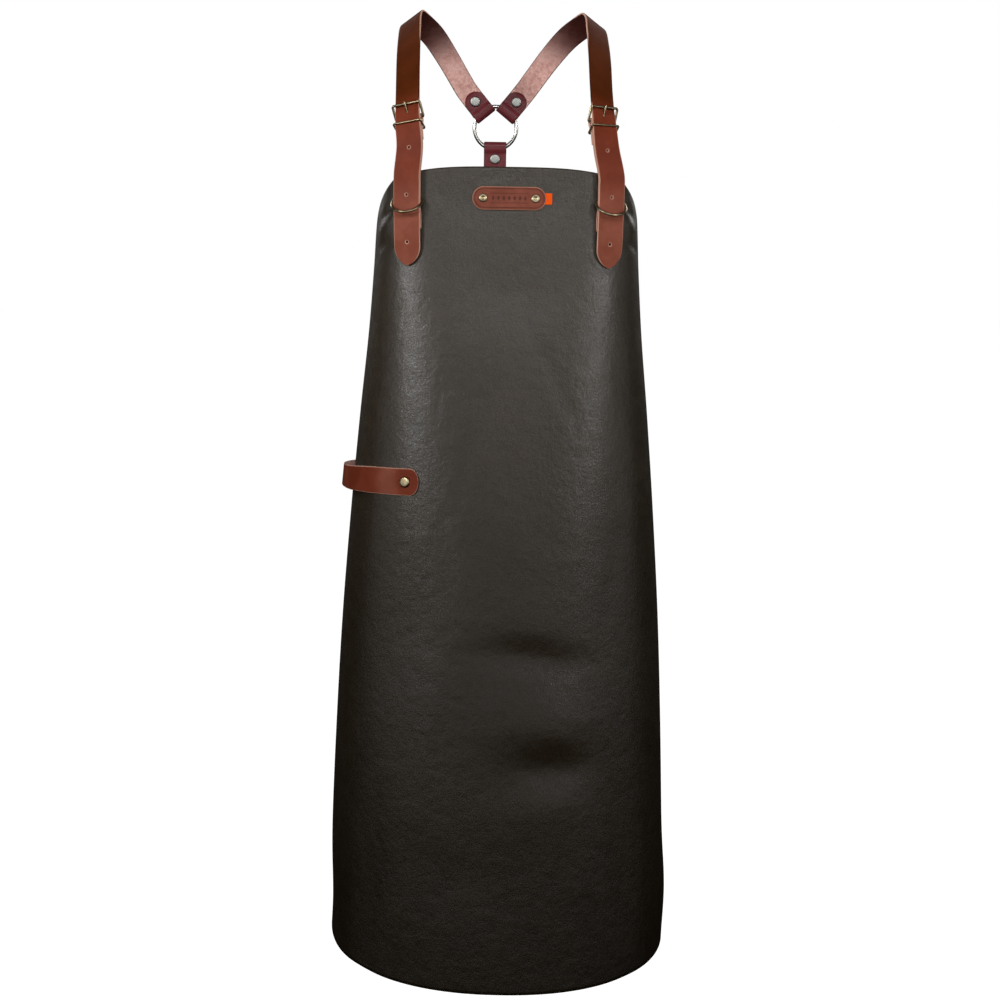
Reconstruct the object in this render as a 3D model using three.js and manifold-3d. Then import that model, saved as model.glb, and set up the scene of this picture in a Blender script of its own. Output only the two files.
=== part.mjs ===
// Leather work apron with a shoulder harness, shown in the form it takes when worn.
// Millimetres, +Z up, the front faces -Y. The origin lies between the two places
// where the shoulder straps cross the shoulders, level with the tops of the straps.
import * as THREE from 'three';
import { mergeVertices } from 'three/addons/utils/BufferGeometryUtils.js';
import Module from 'manifold-3d';

const { lerp } = THREE.MathUtils;

const wasm = await Module();
wasm.setup();

// Apron sheet
const bibDrop = 184.5;          // from the origin down to the middle of the bib's top edge
const sheetDrop = 986;          // from the bib's top edge down to the hem
const hemHalfWidth = 218;       // half of the width across the hem, as worn
const hemDepth = 194;           // from the side line forward to the middle of the hem
const hemHalfCut = 380;         // half of the hem's length, laid flat
const cornerDrop = 14;          // how much lower the bib's corners are than its middle
const hemBelly = 5;             // how much lower the hem is in its middle
const hemRise = 20;             // how much higher it is at its ends, on average
const hemTilt = 6;              // how much lower the right end is than that
const sheetThickness = 1.8;
const sheetLift = 0.5;          // air between the sheet and what lies on it

// Shoulder harness
const strapWidth = 32;
const strapEndWidth = 28;       // where a strap is folded on the ring
const strapThickness = 2.6;
const baseThickness = 2.4;      // the short strap that carries the buckle
const layerGap = 0.3;
const strapOnBib = 119;         // from the middle of the bib to the middle of a strap
const crestHalfSpan = 110;      // from the middle to a strap on the shoulder
const strapTipDrop = 301;
const holeRadius = 1.7;
const holePitch = 55;
const firstHoleDrop = 51;       // from the buckle's front bar to the first free hole

// Buckle, keeper and D-ring
const buckleDrop = 114.5;
const buckleWire = 1.5;         // radius
const buckleLength = 18;        // between the middles of the two bars
const wireSideGap = 0.5;
const prongWire = 1.1;
const keeperWire = 1.25;
const keeperDistance = 21.5;    // from the buckle's front bar, along the strap
const keeperSlant = 7.6;        // how much lower the keeper's rear bar is
const dRingDrop = 224;
const dRingWire = 1.6;
const dRingLength = 24.6;       // from the bar to the top of the bow
const dRingTilt = THREE.MathUtils.degToRad(49);
const bibRivetDrop = dRingDrop + 25;
const baseEndDrop = bibRivetDrop + 9;
const foldReturn = 27;          // length of the base strap folded back behind the hinge bar

// Ring at the back
const ringDrop = 122.7;
const ringBack = 113;           // from the side line back to the ring
const ringSway = 13;            // how far the ring hangs to the left of the middle
const ringRadius = 27.3;        // to the middle of the wire
const ringWire = 2.5;
const ringLean = THREE.MathUtils.degToRad(39);
const ringRivetDistance = 42.3; // from the ring's centre
const ringBendStart = 49;       // from where the strap bends forward over the back
const centreRivetDistance = 40;
const ringTabEnd = 55;
const backTabEnd = 70;

// Waist and back straps
const waistDrop = 556;
const waistStrapWidth = 32;
const waistStrapBackWidth = 27.5;
const waistRivetArc = 120.3;    // from the middle of the front, along the sheet
const waistTabMargin = 16.6;    // from a rivet to the rounded end of the strap
const waistTipLength = 10.4;    // of each rounded end
const waistEdgeMargin = 17.7;   // from the sheet's right edge in to the far rivet
const waistBow = 13.5;          // how far the strap stands off at the left side
const waistBackDepth = 135;
const waistBackSag = 20;
const backStrapWidth = 28.6;
const backStrapThickness = 2.4;

// Patch and tag
const patchDrop = 221;
const patchLength = 87;
const patchHeight = 27;
const patchThickness = 2.8;
const patchRivetSpan = 62;
const tagLength = 7;
const tagWidth = 13;
const tagThickness = 1;
const tagTuck = 4;

// Rivets
const domeRivet = { capRadius: 6.7, capHeight: 2.4, footRadius: 5, footHeight: 1 };
const patchRivet = { capRadius: 5, capHeight: 1.6, footRadius: 4, footHeight: 0.9 };
const flatRivet = { capRadius: 5, capHeight: 1.1, footRadius: 5, footHeight: 1 };
const shankRadius = 1.7;
const shankGap = 0.4;
const footRoom = 0.85;          // extra air under a foot on the curved sheet

// Form of the sheet, from the bib's top edge to the hem. Shares of sheetDrop,
// hemHalfWidth, hemDepth and hemHalfCut; square is the exponent of the section.
const sheetForm = [
  { down: 0.00, width: 0.700, depth: 0.560, reach: 0.362, square: 5.2 },
  { down: 0.03, width: 0.714, depth: 0.567, reach: 0.440, square: 5.0 },
  { down: 0.06, width: 0.730, depth: 0.580, reach: 0.500, square: 4.7 },
  { down: 0.12, width: 0.747, depth: 0.615, reach: 0.590, square: 4.1 },
  { down: 0.20, width: 0.776, depth: 0.670, reach: 0.700, square: 3.5 },
  { down: 0.30, width: 0.824, depth: 0.738, reach: 0.800, square: 3.0 },
  { down: 0.42, width: 0.875, depth: 0.810, reach: 0.862, square: 2.65 },
  { down: 0.56, width: 0.925, depth: 0.873, reach: 0.905, square: 2.4 },
  { down: 0.70, width: 0.960, depth: 0.925, reach: 0.938, square: 2.28 },
  { down: 0.85, width: 0.987, depth: 0.970, reach: 0.970, square: 2.2 },
  { down: 1.00, width: 1.000, depth: 1.000, reach: 1.000, square: 2.15 },
];

// Soft dents and folds in the sheet. across, wide: shares of hemHalfCut; down, tall:
// shares of sheetDrop; push: share of hemDepth, minus inwards; lean in degrees.
const dents = [
  { across: 0.10, down: 0.592, wide: 0.15, tall: 0.021, push: -0.025, lean: -11 },
  { across: 0.17, down: 0.640, wide: 0.16, tall: 0.028, push: 0.016, lean: -14 },
  { across: 0.15, down: 0.716, wide: 0.11, tall: 0.027, push: -0.026, lean: 4 },
  { across: 0.13, down: 0.768, wide: 0.13, tall: 0.036, push: 0.012, lean: 8 },
  { across: -0.30, down: 0.560, wide: 0.10, tall: 0.090, push: -0.012, lean: -8 },
  { across: -0.12, down: 0.860, wide: 0.20, tall: 0.050, push: -0.010, lean: -14 },
  { across: 0.42, down: 0.880, wide: 0.07, tall: 0.110, push: -0.016, lean: 6 },
  { across: -0.46, down: 0.900, wide: 0.07, tall: 0.110, push: -0.016, lean: -6 },
  { across: 0.00, down: 0.150, wide: 0.16, tall: 0.040, push: -0.010, lean: 0 },
  { across: 0.80, down: 0.930, wide: 0.18, tall: 0.060, push: 0.022, lean: 0 },
  { across: -0.80, down: 0.950, wide: 0.18, tall: 0.060, push: -0.015, lean: 0 },
];

// Free run of a shoulder strap, from above the bib over the shoulder to the ring.
// drop: share of bibDrop; span: share of crestHalfSpan; front, back: shares of the
// bib's and the ring's distance from the side line; sway: share of ringSway. turn and
// bank aim the width: turned outwards about Z, then its inner edge raised, in degrees.
const strapRun = [
  { drop: 0.880, span: 1.057, front: 0.985, back: 0, sway: 0.15, turn: 20, bank: 2 },
  { drop: 0.735, span: 1.052, front: 0.945, back: 0, sway: 0.35, turn: 24, bank: 6 },
  { drop: 0.620, span: 1.046, front: 0.880, back: 0, sway: 0.46, turn: 27, bank: 11 },
  { drop: 0.484, span: 1.042, front: 0.755, back: 0, sway: 0.52, turn: 27, bank: 14 },
  { drop: 0.290, span: 1.042, front: 0.520, back: 0, sway: 0.55, turn: 24, bank: 18 },
  { drop: 0.130, span: 1.036, front: 0.280, back: 0, sway: 0.58, turn: 21, bank: 25 },
  { drop: 0.033, span: 1.025, front: 0.085, back: 0, sway: 0.60, turn: 19, bank: 31 },
  { drop: 0.000, span: 0.992, front: 0, back: 0.095, sway: 0.63, turn: 17, bank: 35 },
  { drop: 0.026, span: 0.900, front: 0, back: 0.290, sway: 0.67, turn: 11, bank: 36 },
  { drop: 0.085, span: 0.765, front: 0, back: 0.470, sway: 0.74, turn: 4, bank: 36 },
  { drop: 0.200, span: 0.600, front: 0, back: 0.690, sway: 0.86, turn: 0, bank: 36 },
];

// How the waist strap stands off the body round its run, from the tab at the front
// left, round the back, to the far end inside the sheet's right edge. lift: share of
// waistBow; sag: share of waistBackSag; back: 0 follows the sheet, 1 the back line.
const waistRun = [
  { along: 0.00, lift: 0.00, sag: 0.00, back: 0 },
  { along: 0.09, lift: 0.05, sag: 0.10, back: 0 },
  { along: 0.18, lift: 0.50, sag: 0.35, back: 0 },
  { along: 0.26, lift: 1.00, sag: 0.55, back: 0 },
  { along: 0.36, lift: 1.05, sag: 0.75, back: 0.6 },
  { along: 0.50, lift: 1.00, sag: 1.00, back: 1 },
  { along: 0.70, lift: 0.80, sag: 1.00, back: 1 },
  { along: 0.84, lift: 0.30, sag: 0.80, back: 0.7 },
  { along: 0.93, lift: 0.00, sag: 0.62, back: 0 },
  { along: 1.00, lift: 0.00, sag: 0.55, back: 0 },
];

const up = new THREE.Vector3(0, 0, 1);
const backward = new THREE.Vector3(0, 1, 0);
const smooth = (from, to, at) => THREE.MathUtils.smoothstep(at, from, to);
const add = (point, ...terms) => {
  const sum = point.clone();
  for (const [direction, amount] of terms) sum.addScaledVector(direction, amount);
  return sum;
};

// Reads a table at a value of its first column, along a smooth curve through its rows.
function readTable(table, key, at) {
  const last = table.length - 1;
  let row = 0;
  while (row < last - 1 && table[row + 1][key] < at) row += 1;
  const [start, end] = [table[row], table[row + 1]];
  const before = table[Math.max(row - 1, 0)];
  const after = table[Math.min(row + 2, last)];
  const step = end[key] - start[key];
  const share = THREE.MathUtils.clamp((at - start[key]) / step, 0, 1);
  const values = {};
  for (const name of Object.keys(start)) {
    const slopeIn = (end[name] - before[name]) / (end[key] - before[key]) * step;
    const slopeOut = (after[name] - start[name]) / (after[key] - start[key]) * step;
    const rise = end[name] - start[name];
    const bend = 3 * rise - 2 * slopeIn - slopeOut;
    const twist = slopeIn + slopeOut - 2 * rise;
    values[name] = start[name] + share * (slopeIn + share * (bend + share * twist));
  }
  return values;
}

// Radius of a rounded-square section at an angle from straight ahead.
function sectionRadius(form, angle) {
  const side = Math.abs(Math.sin(angle)) / (form.width * hemHalfWidth);
  const ahead = Math.abs(Math.cos(angle)) / (form.depth * hemDepth);
  return (side ** form.square + ahead ** form.square) ** (-1 / form.square);
}

const sectionPoint = (form, angle) => {
  const radius = sectionRadius(form, angle);
  return [radius * Math.sin(angle), -radius * Math.cos(angle)];
};

// Angle at which a section's length from the middle of the front reaches an arc.
function angleAtArc(form, arc) {
  const steps = 72;
  const furthest = THREE.MathUtils.degToRad(135);
  let [x, y] = sectionPoint(form, 0);
  let length = 0;
  for (let i = 1; i <= steps; i += 1) {
    const [nextX, nextY] = sectionPoint(form, furthest * i / steps);
    const piece = Math.hypot(nextX - x, nextY - y);
    if (length + piece >= Math.abs(arc) || i === steps) {
      const angle = furthest * (i - 1 + (Math.abs(arc) - length) / piece) / steps;
      return Math.sign(arc) * angle;
    }
    length += piece;
    [x, y] = [nextX, nextY];
  }
  return 0;
}

const formAt = (z) => readTable(sheetForm, 'down', (-bibDrop - z) / sheetDrop);

// Outward push of all dents at a place on the sheet.
function dentPush(arc, z) {
  let push = 0;
  for (const dent of dents) {
    const lean = THREE.MathUtils.degToRad(dent.lean);
    const across = arc - dent.across * hemHalfCut;
    const down = -bibDrop - z - dent.down * sheetDrop;
    const along = (across * Math.cos(lean) - down * Math.sin(lean)) / (dent.wide * hemHalfCut);
    const over = (across * Math.sin(lean) + down * Math.cos(lean)) / (dent.tall * sheetDrop);
    push += dent.push * hemDepth * Math.exp(-along * along - over * over);
  }
  return push;
}

// Point of the sheet's outer face, from the length along its section and the height.
function sheetPoint(arc, z) {
  const form = formAt(z);
  const angle = angleAtArc(form, arc);
  const radius = sectionRadius(form, angle) + dentPush(arc, z);
  return new THREE.Vector3(radius * Math.sin(angle), -radius * Math.cos(angle), z);
}

// Frame of the sheet: across runs to +X along the section, out points off the body.
function sheetFrame(arc, z) {
  const step = 2;
  const across = sheetPoint(arc + step, z).sub(sheetPoint(arc - step, z)).normalize();
  const rise = sheetPoint(arc, z + step).sub(sheetPoint(arc, z - step)).normalize();
  const out = across.clone().cross(rise).normalize();
  return { point: sheetPoint(arc, z), across, rise, out };
}

function signedVolume(points, faces) {
  const edge = new THREE.Vector3();
  return faces.reduce((sum, [a, b, c]) => (
    sum + points[a].dot(edge.crossVectors(points[b], points[c]))), 0) / 6;
}

// Closed geometry from points and triangles, turned so that its faces point out.
function closedGeometry(points, faces) {
  const outward = signedVolume(points, faces) > 0;
  const geometry = new THREE.BufferGeometry();
  geometry.setFromPoints(points);
  geometry.setIndex(faces.flatMap(([a, b, c]) => (outward ? [a, b, c] : [a, c, b])));
  return geometry;
}

// Wall with a front and a back face: rows of { front, back } pairs, closed all round.
function wall(rows) {
  const columns = rows[0].length;
  const points = rows.flatMap((row) => [
    ...row.map((pair) => pair.front), ...row.map((pair) => pair.back).reverse()]);
  const ring = 2 * columns;
  const faces = [];
  const quad = (a, b, c, d) => faces.push([a, b, c], [a, c, d]);
  for (let i = 0; i < rows.length - 1; i += 1) {
    for (let k = 0; k < ring; k += 1) {
      const [here, next] = [i * ring + k, i * ring + (k + 1) % ring];
      if (k < columns) quad(here, next, next + ring, here + ring);
      else quad(next, next + ring, here + ring, here);
    }
  }
  const end = (rows.length - 1) * ring;
  for (let k = 0; k < columns - 1; k += 1) {
    quad(ring - 1 - k, ring - 2 - k, k + 1, k);
    quad(end + k, end + k + 1, end + ring - 2 - k, end + ring - 1 - k);
  }
  return closedGeometry(points, faces);
}

// Flat strap through stations of { point, across, out, half }.
const strap = (stations, thickness) => wall(stations.map(({ point, across, out, half }) => (
  [-half, half].map((offset) => ({
    front: add(point, [across, offset], [out, thickness / 2]),
    back: add(point, [across, offset], [out, -thickness / 2]),
  })))));

// Half width of a strap at a distance from its rounded end.
const roundedHalf = (half, distance) => (
  half * Math.sqrt(1 - (1 - Math.min(Math.max(distance, 0.25) / half, 1)) ** 2));

// Distances of the stations that shape a rounded end, measured from the tip.
const roundedEnd = (half) => [0, 0.05, 0.18, 0.38, 0.66, 1].map((share) => share * half);

// Wire bent in a plane: points are [u, v] pairs in the plane's frame.
function wire({ centre, u, v, path, radius, sides = 8, closed = true, taper = () => 1 }) {
  const normal = u.clone().cross(v).normalize();
  const count = path.length;
  const rings = path.map(([a, b], i) => {
    const before = path[closed ? (i + count - 1) % count : Math.max(i - 1, 0)];
    const after = path[closed ? (i + 1) % count : Math.min(i + 1, count - 1)];
    const length = Math.hypot(after[0] - before[0], after[1] - before[1]);
    const side = [(after[1] - before[1]) / length, -(after[0] - before[0]) / length];
    const point = add(centre, [u, a], [v, b]);
    const sideways = add(new THREE.Vector3(), [u, side[0]], [v, side[1]]);
    return Array.from({ length: sides }, (_, k) => {
      const angle = 2 * Math.PI * k / sides;
      const size = radius * taper(i / (count - 1));
      return add(point, [sideways, size * Math.cos(angle)], [normal, size * Math.sin(angle)]);
    });
  });
  const points = rings.flat();
  const faces = [];
  const last = closed ? count : count - 1;
  for (let i = 0; i < last; i += 1) {
    for (let k = 0; k < sides; k += 1) {
      const [here, next] = [i * sides, ((i + 1) % count) * sides];
      const other = (k + 1) % sides;
      faces.push([here + k, here + other, next + other], [here + k, next + other, next + k]);
    }
  }
  for (let k = 1; !closed && k < sides - 1; k += 1) {
    const end = (count - 1) * sides;
    faces.push([0, k + 1, k], [end, end + k, end + k + 1]);
  }
  return closedGeometry(points, faces);
}

// Rectangle with rounded corners from (left, low) to (right, high), as [u, v] pairs.
function roundedRectangle(left, low, right, high, corner) {
  const steps = 3;
  const centres = [
    [right - corner, high - corner, 0], [left + corner, high - corner, 1],
    [left + corner, low + corner, 2], [right - corner, low + corner, 3],
  ];
  return centres.flatMap(([a, b, quarter]) => Array.from({ length: steps + 1 }, (_, i) => {
    const angle = (quarter + i / steps) * Math.PI / 2;
    return [a + corner * Math.cos(angle), b + corner * Math.sin(angle)];
  }));
}

// Turned rivet along +Z: a domed cap at the top, a shank and a flat foot below.
function rivet({ capRadius, capHeight, footRadius, footHeight }, grip) {
  const capBase = grip / 2 + layerGap;
  const footTop = -grip / 2 - layerGap;
  const shoulder = 0.7;
  const dome = [capRadius * shoulder, capBase + capHeight * (1 - shoulder ** 2.6)];
  const profile = [
    [0, footTop - footHeight], [footRadius, footTop - footHeight], [footRadius, footTop],
    [shankRadius, footTop], [shankRadius, capBase], [capRadius, capBase],
    [capRadius, capBase + capHeight * 0.25], dome, [0, capBase + capHeight]];
  const geometry = new THREE.LatheGeometry(profile.map(([r, z]) => new THREE.Vector2(r, z)), 10);
  geometry.rotateX(Math.PI / 2);
  return geometry;
}

function toSolid(geometry) {
  const bare = geometry.clone();
  for (const name of ['normal', 'uv']) bare.deleteAttribute(name);
  const merged = mergeVertices(bare, 1e-4);
  return new wasm.Manifold(new wasm.Mesh({
    numProp: 3,
    vertProperties: Float32Array.from(merged.attributes.position.array),
    triVerts: Uint32Array.from(merged.index.array),
  }));
}

function fromSolid(solid) {
  const { vertProperties, triVerts } = solid.getMesh();
  const geometry = new THREE.BufferGeometry();
  geometry.setAttribute('position', new THREE.BufferAttribute(vertProperties, 3));
  geometry.setIndex(new THREE.BufferAttribute(triVerts, 1));
  return geometry;
}

const cutAway = (geometry, cutters) => fromSolid(
  cutters.reduce((solid, cutter) => solid.subtract(toSolid(cutter)), toSolid(geometry)));

// Straight punch of a radius along an axis, centred on a point.
function punch(point, axis, radius, length = 16) {
  const geometry = new THREE.CylinderGeometry(radius, radius, length, 8);
  const turn = new THREE.Quaternion().setFromUnitVectors(backward, axis.clone().normalize());
  return geometry.applyQuaternion(turn).translate(point.x, point.y, point.z);
}

const mirrored = (geometry) => {
  const points = [];
  const position = geometry.attributes.position;
  for (let i = 0; i < position.count; i += 1) {
    points.push(new THREE.Vector3(-position.getX(i), position.getY(i), position.getZ(i)));
  }
  const index = geometry.index.array;
  const faces = Array.from({ length: index.length / 3 }, (_, i) => (
    [index[3 * i], index[3 * i + 1], index[3 * i + 2]]));
  return closedGeometry(points, faces);
};

const finishes = {
  apronLeather: { color: 0x3d3833, roughness: 0.6, metalness: 0 },
  strapLeather: { color: 0x7d3420, roughness: 0.5, metalness: 0 },
  patchLeather: { color: 0x6e3420, roughness: 0.6, metalness: 0 },
  antiqueBrass: { color: 0x8d7a54, roughness: 0.35, metalness: 1 },
  nickel: { color: 0xb5aa9c, roughness: 0.25, metalness: 1 },
  tagCloth: { color: 0xe0621a, roughness: 0.9, metalness: 0 },
};
const apron = new THREE.Group();

function addPiece(name, geometry, finish) {
  const mesh = new THREE.Mesh(geometry, new THREE.MeshStandardMaterial(finishes[finish]));
  mesh.name = name;
  apron.add(mesh);
  return mesh;
}

// Sets a rivet with the middle of what it grips on a point, its cap facing along out.
function addRivet(name, kind, grip, point, out, finish) {
  const mesh = addPiece(name, rivet(kind, grip), finish);
  mesh.position.copy(point);
  mesh.quaternion.setFromUnitVectors(up, out);
}

// Heights above the sheet of the base strap's and the long strap's back faces.
const baseLiftAt = (drop) => (
  sheetLift + (2 * dRingWire + sheetLift) * (1 - smooth(dRingDrop + 3, dRingDrop + 21, drop)));
const raisedLift = baseLiftAt(dRingDrop) + baseThickness + layerGap;
const overRivetLift = sheetLift + baseThickness + flatRivet.capHeight + 3 * layerGap;
const strapLiftAt = (drop) => {
  const tip = sheetLift + 0.7;
  const belowRivet = smooth(bibRivetDrop + 3, strapTipDrop, drop);
  const belowRing = smooth(dRingDrop + 4, bibRivetDrop, drop);
  return lerp(
    lerp(raisedLift, overRivetLift, belowRing), tip, belowRivet);
};

// Middle line of the left shoulder strap, from its tip on the bib to above the ring.
const onBibDrops = [
  ...[0, 0.31, 0.63, 1].map((share) => lerp(strapTipDrop, bibRivetDrop, share)),
  ...[0.52, 1].map((share) => lerp(bibRivetDrop, dRingDrop, share)),
  ...[0.4, 0.73].map((share) => lerp(dRingDrop, bibDrop, share))];
const onBib = onBibDrops.map((drop) => {
  const { point, across, out } = sheetFrame(-strapOnBib, -drop);
  return { point: add(point, [out, strapLiftAt(drop) + strapThickness / 2]), across };
});
const bibFront = -onBib.at(-1).point.y;
const freeRun = (sway) => strapRun.map((row) => {
  const [turn, bank] = [row.turn, row.bank].map(THREE.MathUtils.degToRad);
  return {
    point: new THREE.Vector3(-row.span * crestHalfSpan + row.sway * sway,
      row.back * ringBack - row.front * bibFront, -row.drop * bibDrop),
    across: new THREE.Vector3(
      Math.cos(bank) * Math.cos(turn), -Math.cos(bank) * Math.sin(turn), Math.sin(bank)),
  };
});

// Strap end folded on the ring: along leads from the ring's centre down the strap,
// across lies in the ring's plane. The main layer runs behind the ring, the tab before.
const ringCentre = new THREE.Vector3(-ringSway, ringBack, -ringDrop);
const foldGap = ringWire + 0.35;

function ringEnd({ centre, along, across, half, thickness, farthest, tabEnd, forward }) {
  const edgeReach = Math.sqrt(ringRadius ** 2 - half ** 2);
  const foldInside = edgeReach - ringWire * ringRadius / edgeReach - layerGap;
  const turnCentre = foldInside + foldGap;
  const wideOffset = foldGap + thickness / 2;
  const closeOffset = (thickness + layerGap) / 2;
  const offsetAt = (t) => lerp(
    wideOffset, closeOffset, smooth(turnCentre + 5, turnCentre + 10.5, t));
  const place = (t, side) => ({
    point: add(centre, [along, t], [backward, side * offsetAt(t) - forward(t)]),
    across, out: backward.clone().multiplyScalar(side), half });
  const layer = [farthest, 56, 50, 42, 36, 33.5, 32, 30.5, 29, 28, turnCentre]
    .filter((t) => t <= farthest);
  const steps = 8;
  const turn = Array.from({ length: steps - 1 }, (_, i) => {
    const angle = Math.PI * (i + 1) / steps;
    const out = add(new THREE.Vector3(), [backward, Math.cos(angle)], [along, -Math.sin(angle)]);
    return { point: add(centre, [along, turnCentre], [out, wideOffset]), across, out, half };
  });
  const tab = [...layer].reverse().filter((t) => t < tabEnd - half).map((t) => place(t, -1));
  const round = roundedEnd(half).reverse().map((distance) => ({
    ...place(tabEnd - distance, -1), half: roundedHalf(half, distance) }));
  return [...layer.map((t) => place(t, 1)), ...turn, ...tab, ...round];
}

const leanAlong = new THREE.Vector3(-Math.sin(ringLean), 0, Math.cos(ringLean));
const leanAcross = new THREE.Vector3(Math.cos(ringLean), 0, Math.sin(ringLean));
const forwardBend = (t) => 0.03 * Math.max(t - ringBendStart, 0) ** 2;
const halfWidth = strapWidth / 2;

// Run of the left shoulder strap: frames along its middle line, where the ring that it
// ends on lies at a sway to the right of the middle.
function strapRoute(sway) {
  const centre = new THREE.Vector3(sway, ringCentre.y, ringCentre.z);
  const end = ringEnd({
    centre, along: leanAlong, across: leanAcross, half: strapEndWidth / 2,
    thickness: strapThickness, farthest: 62, tabEnd: ringTabEnd, forward: forwardBend });
  const guides = [...onBib, ...freeRun(sway), ...end.slice(0, 2)];
  const middleLine = new THREE.CatmullRomCurve3(guides.map((guide) => guide.point));
  const widthLine = new THREE.CatmullRomCurve3(guides.map((guide) => guide.across));
  middleLine.arcLengthDivisions = 600;
  const length = middleLine.getLength();

  // Frame of the strap at a distance from its tip.
  const frameAt = (distance) => {
    const t = middleLine.getUtoTmapping(0, distance);
    const along = middleLine.getTangent(t);
    const guide = widthLine.getPoint(t);
    const across = guide.addScaledVector(along, -guide.dot(along)).normalize();
    return { point: middleLine.getPoint(t), along, across, out: across.clone().cross(along) };
  };

  // Distance from the tip at which the front of the strap reaches a drop.
  const distanceAtDrop = (drop) => {
    let [low, high] = [0, length / 2];
    while (high - low > 0.01) {
      const middle = (low + high) / 2;
      if (-frameAt(middle).point.z > drop) low = middle;
      else high = middle;
    }
    return low;
  };
  return { centre, end, length, frameAt, distanceAtDrop };
}

function addHarnessSide(name, place, sway) {
  const { centre, end, length, frameAt, distanceAtDrop } = strapRoute(sway);
  const barDistance = distanceAtDrop(buckleDrop);
  const hingeOffset = strapThickness / 2 + layerGap + baseThickness + 0.35 + buckleWire;
  const barOffset = strapThickness / 2 + 3 * layerGap + buckleWire;
  const hingeDistance = barDistance
    - Math.sqrt(buckleLength ** 2 - (hingeOffset + barOffset) ** 2);
  const hinge = frameAt(hingeDistance);
  const bar = frameAt(barDistance);
  const hingeCentre = add(hinge.point, [hinge.out, -hingeOffset]);
  const barCentre = add(bar.point, [bar.out, barOffset]);
  const frameUp = barCentre.clone().sub(hingeCentre).normalize();
  const frameOut = hinge.across.clone().cross(frameUp).normalize();

  // The prong leaves the hinge bar at its front and rests on the front bar.
  const prongHook = buckleWire + layerGap + prongWire;
  const prongPath = [
    ...[80, 62, 44, 26, 8].map(THREE.MathUtils.degToRad)
      .map((angle) => [-prongHook * Math.sin(angle), prongHook * Math.cos(angle)]),
    [buckleLength * 0.5, prongHook], [buckleLength, prongHook],
    [buckleLength + 3.4, prongHook - 0.1], [buckleLength + 4.2, prongHook - 0.2]];
  const piece = (part, geometry, finish) => addPiece(`${part}_${name}`, place(geometry), finish);

  const tipStations = roundedEnd(halfWidth + 1.5);
  const stationsTo = (from, to, steps) => (
    Array.from({ length: steps }, (_, i) => from + (to - from) * (i + 1) / steps));
  const run = [...stationsTo(tipStations.at(-1), hingeDistance, 17),
    ...stationsTo(hingeDistance, length, 23).slice(0, -1)];
  const narrowing = (distance) => lerp(
    halfWidth, strapEndWidth / 2, smooth(length * 0.6, length * 0.95, distance));
  const front = [...tipStations, ...run].map((distance) => ({
    ...frameAt(distance),
    half: distance < tipStations.at(-1)
      ? roundedHalf(halfWidth + 1.5, distance) * halfWidth / (halfWidth + 1.5)
      : narrowing(distance) }));
  const freeHoles = [0, 1, 2].map((i) => barDistance - firstHoleDrop - i * holePitch);
  const prongMiddle = add(hingeCentre, [frameUp, buckleLength / 2], [frameOut, prongHook]);
  const ringRivet = add(centre, [leanAlong, ringRivetDistance],
    [backward, -forwardBend(ringRivetDistance)]);
  piece('shoulder_strap', cutAway(strap([...front, ...end.slice(1)], strapThickness), [
    ...freeHoles.map((distance) => frameAt(distance))
      .map(({ point, out }) => punch(point, out, holeRadius, 10)),
    punch(prongMiddle, frameUp, prongWire + 0.5, 20),
    punch(ringRivet, backward, shankRadius + shankGap),
  ]), 'strapLeather');

  const behind = (strapThickness + baseThickness) / 2 + layerGap;
  const lower = [0, 2, 5, 9, 14, 18, 22, 26, 30, 33].map((rise) => {
    const drop = baseEndDrop - rise;
    const { point, across, rise: along, out } = sheetFrame(-strapOnBib, -drop);
    const lift = baseLiftAt(drop) + baseThickness / 2;
    return { point: add(point, [out, lift]), across, along, out,
      half: Math.min(halfWidth, halfWidth - 4 + rise * 2) };
  });
  const upperStart = distanceAtDrop(dRingDrop - 4);
  const besideRun = run.filter((at) => at > upperStart + 2 && at < hingeDistance - 2);
  const upper = [upperStart, ...besideRun, hingeDistance].map((distance) => {
    const frame = frameAt(distance);
    return { ...frame, point: add(frame.point, [frame.out, -behind]), half: halfWidth };
  });
  const turnRadius = hingeOffset - behind;
  const turnSteps = 7;
  const turn = Array.from({ length: turnSteps - 1 }, (_, i) => {
    const angle = Math.PI * (i + 1) / turnSteps;
    const out = add(new THREE.Vector3(),
      [hinge.out, Math.cos(angle)], [hinge.along, Math.sin(angle)]);
    return { point: add(hingeCentre, [out, turnRadius]), across: hinge.across, out,
      half: halfWidth };
  });
  const returned = [0, 4, 8, 12, foldReturn - 6, foldReturn].map((distance) => {
    const frame = frameAt(hingeDistance - distance);
    const offset = behind + lerp(
      2 * turnRadius, baseThickness + layerGap, smooth(3.5, 12, distance));
    return { point: add(frame.point, [frame.out, -offset]), across: frame.across,
      out: frame.out.clone().negate(), half: halfWidth };
  });
  const slot = new THREE.BoxGeometry(2 * (prongWire + 0.5), 9.5, 4.8);
  slot.applyMatrix4(new THREE.Matrix4().makeBasis(hinge.across, hinge.along, hinge.out));
  const slotCentre = add(hingeCentre, [hinge.out, 2.6], [hinge.along, 0.1]);
  slot.translate(slotCentre.x, slotCentre.y, slotCentre.z);
  const bibRivet = sheetFrame(-strapOnBib, -bibRivetDrop);
  piece('buckle_strap', cutAway(strap([...lower, ...upper, ...turn, ...returned], baseThickness), [
    slot, punch(bibRivet.point, bibRivet.out, shankRadius + shankGap)]), 'strapLeather');

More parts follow.
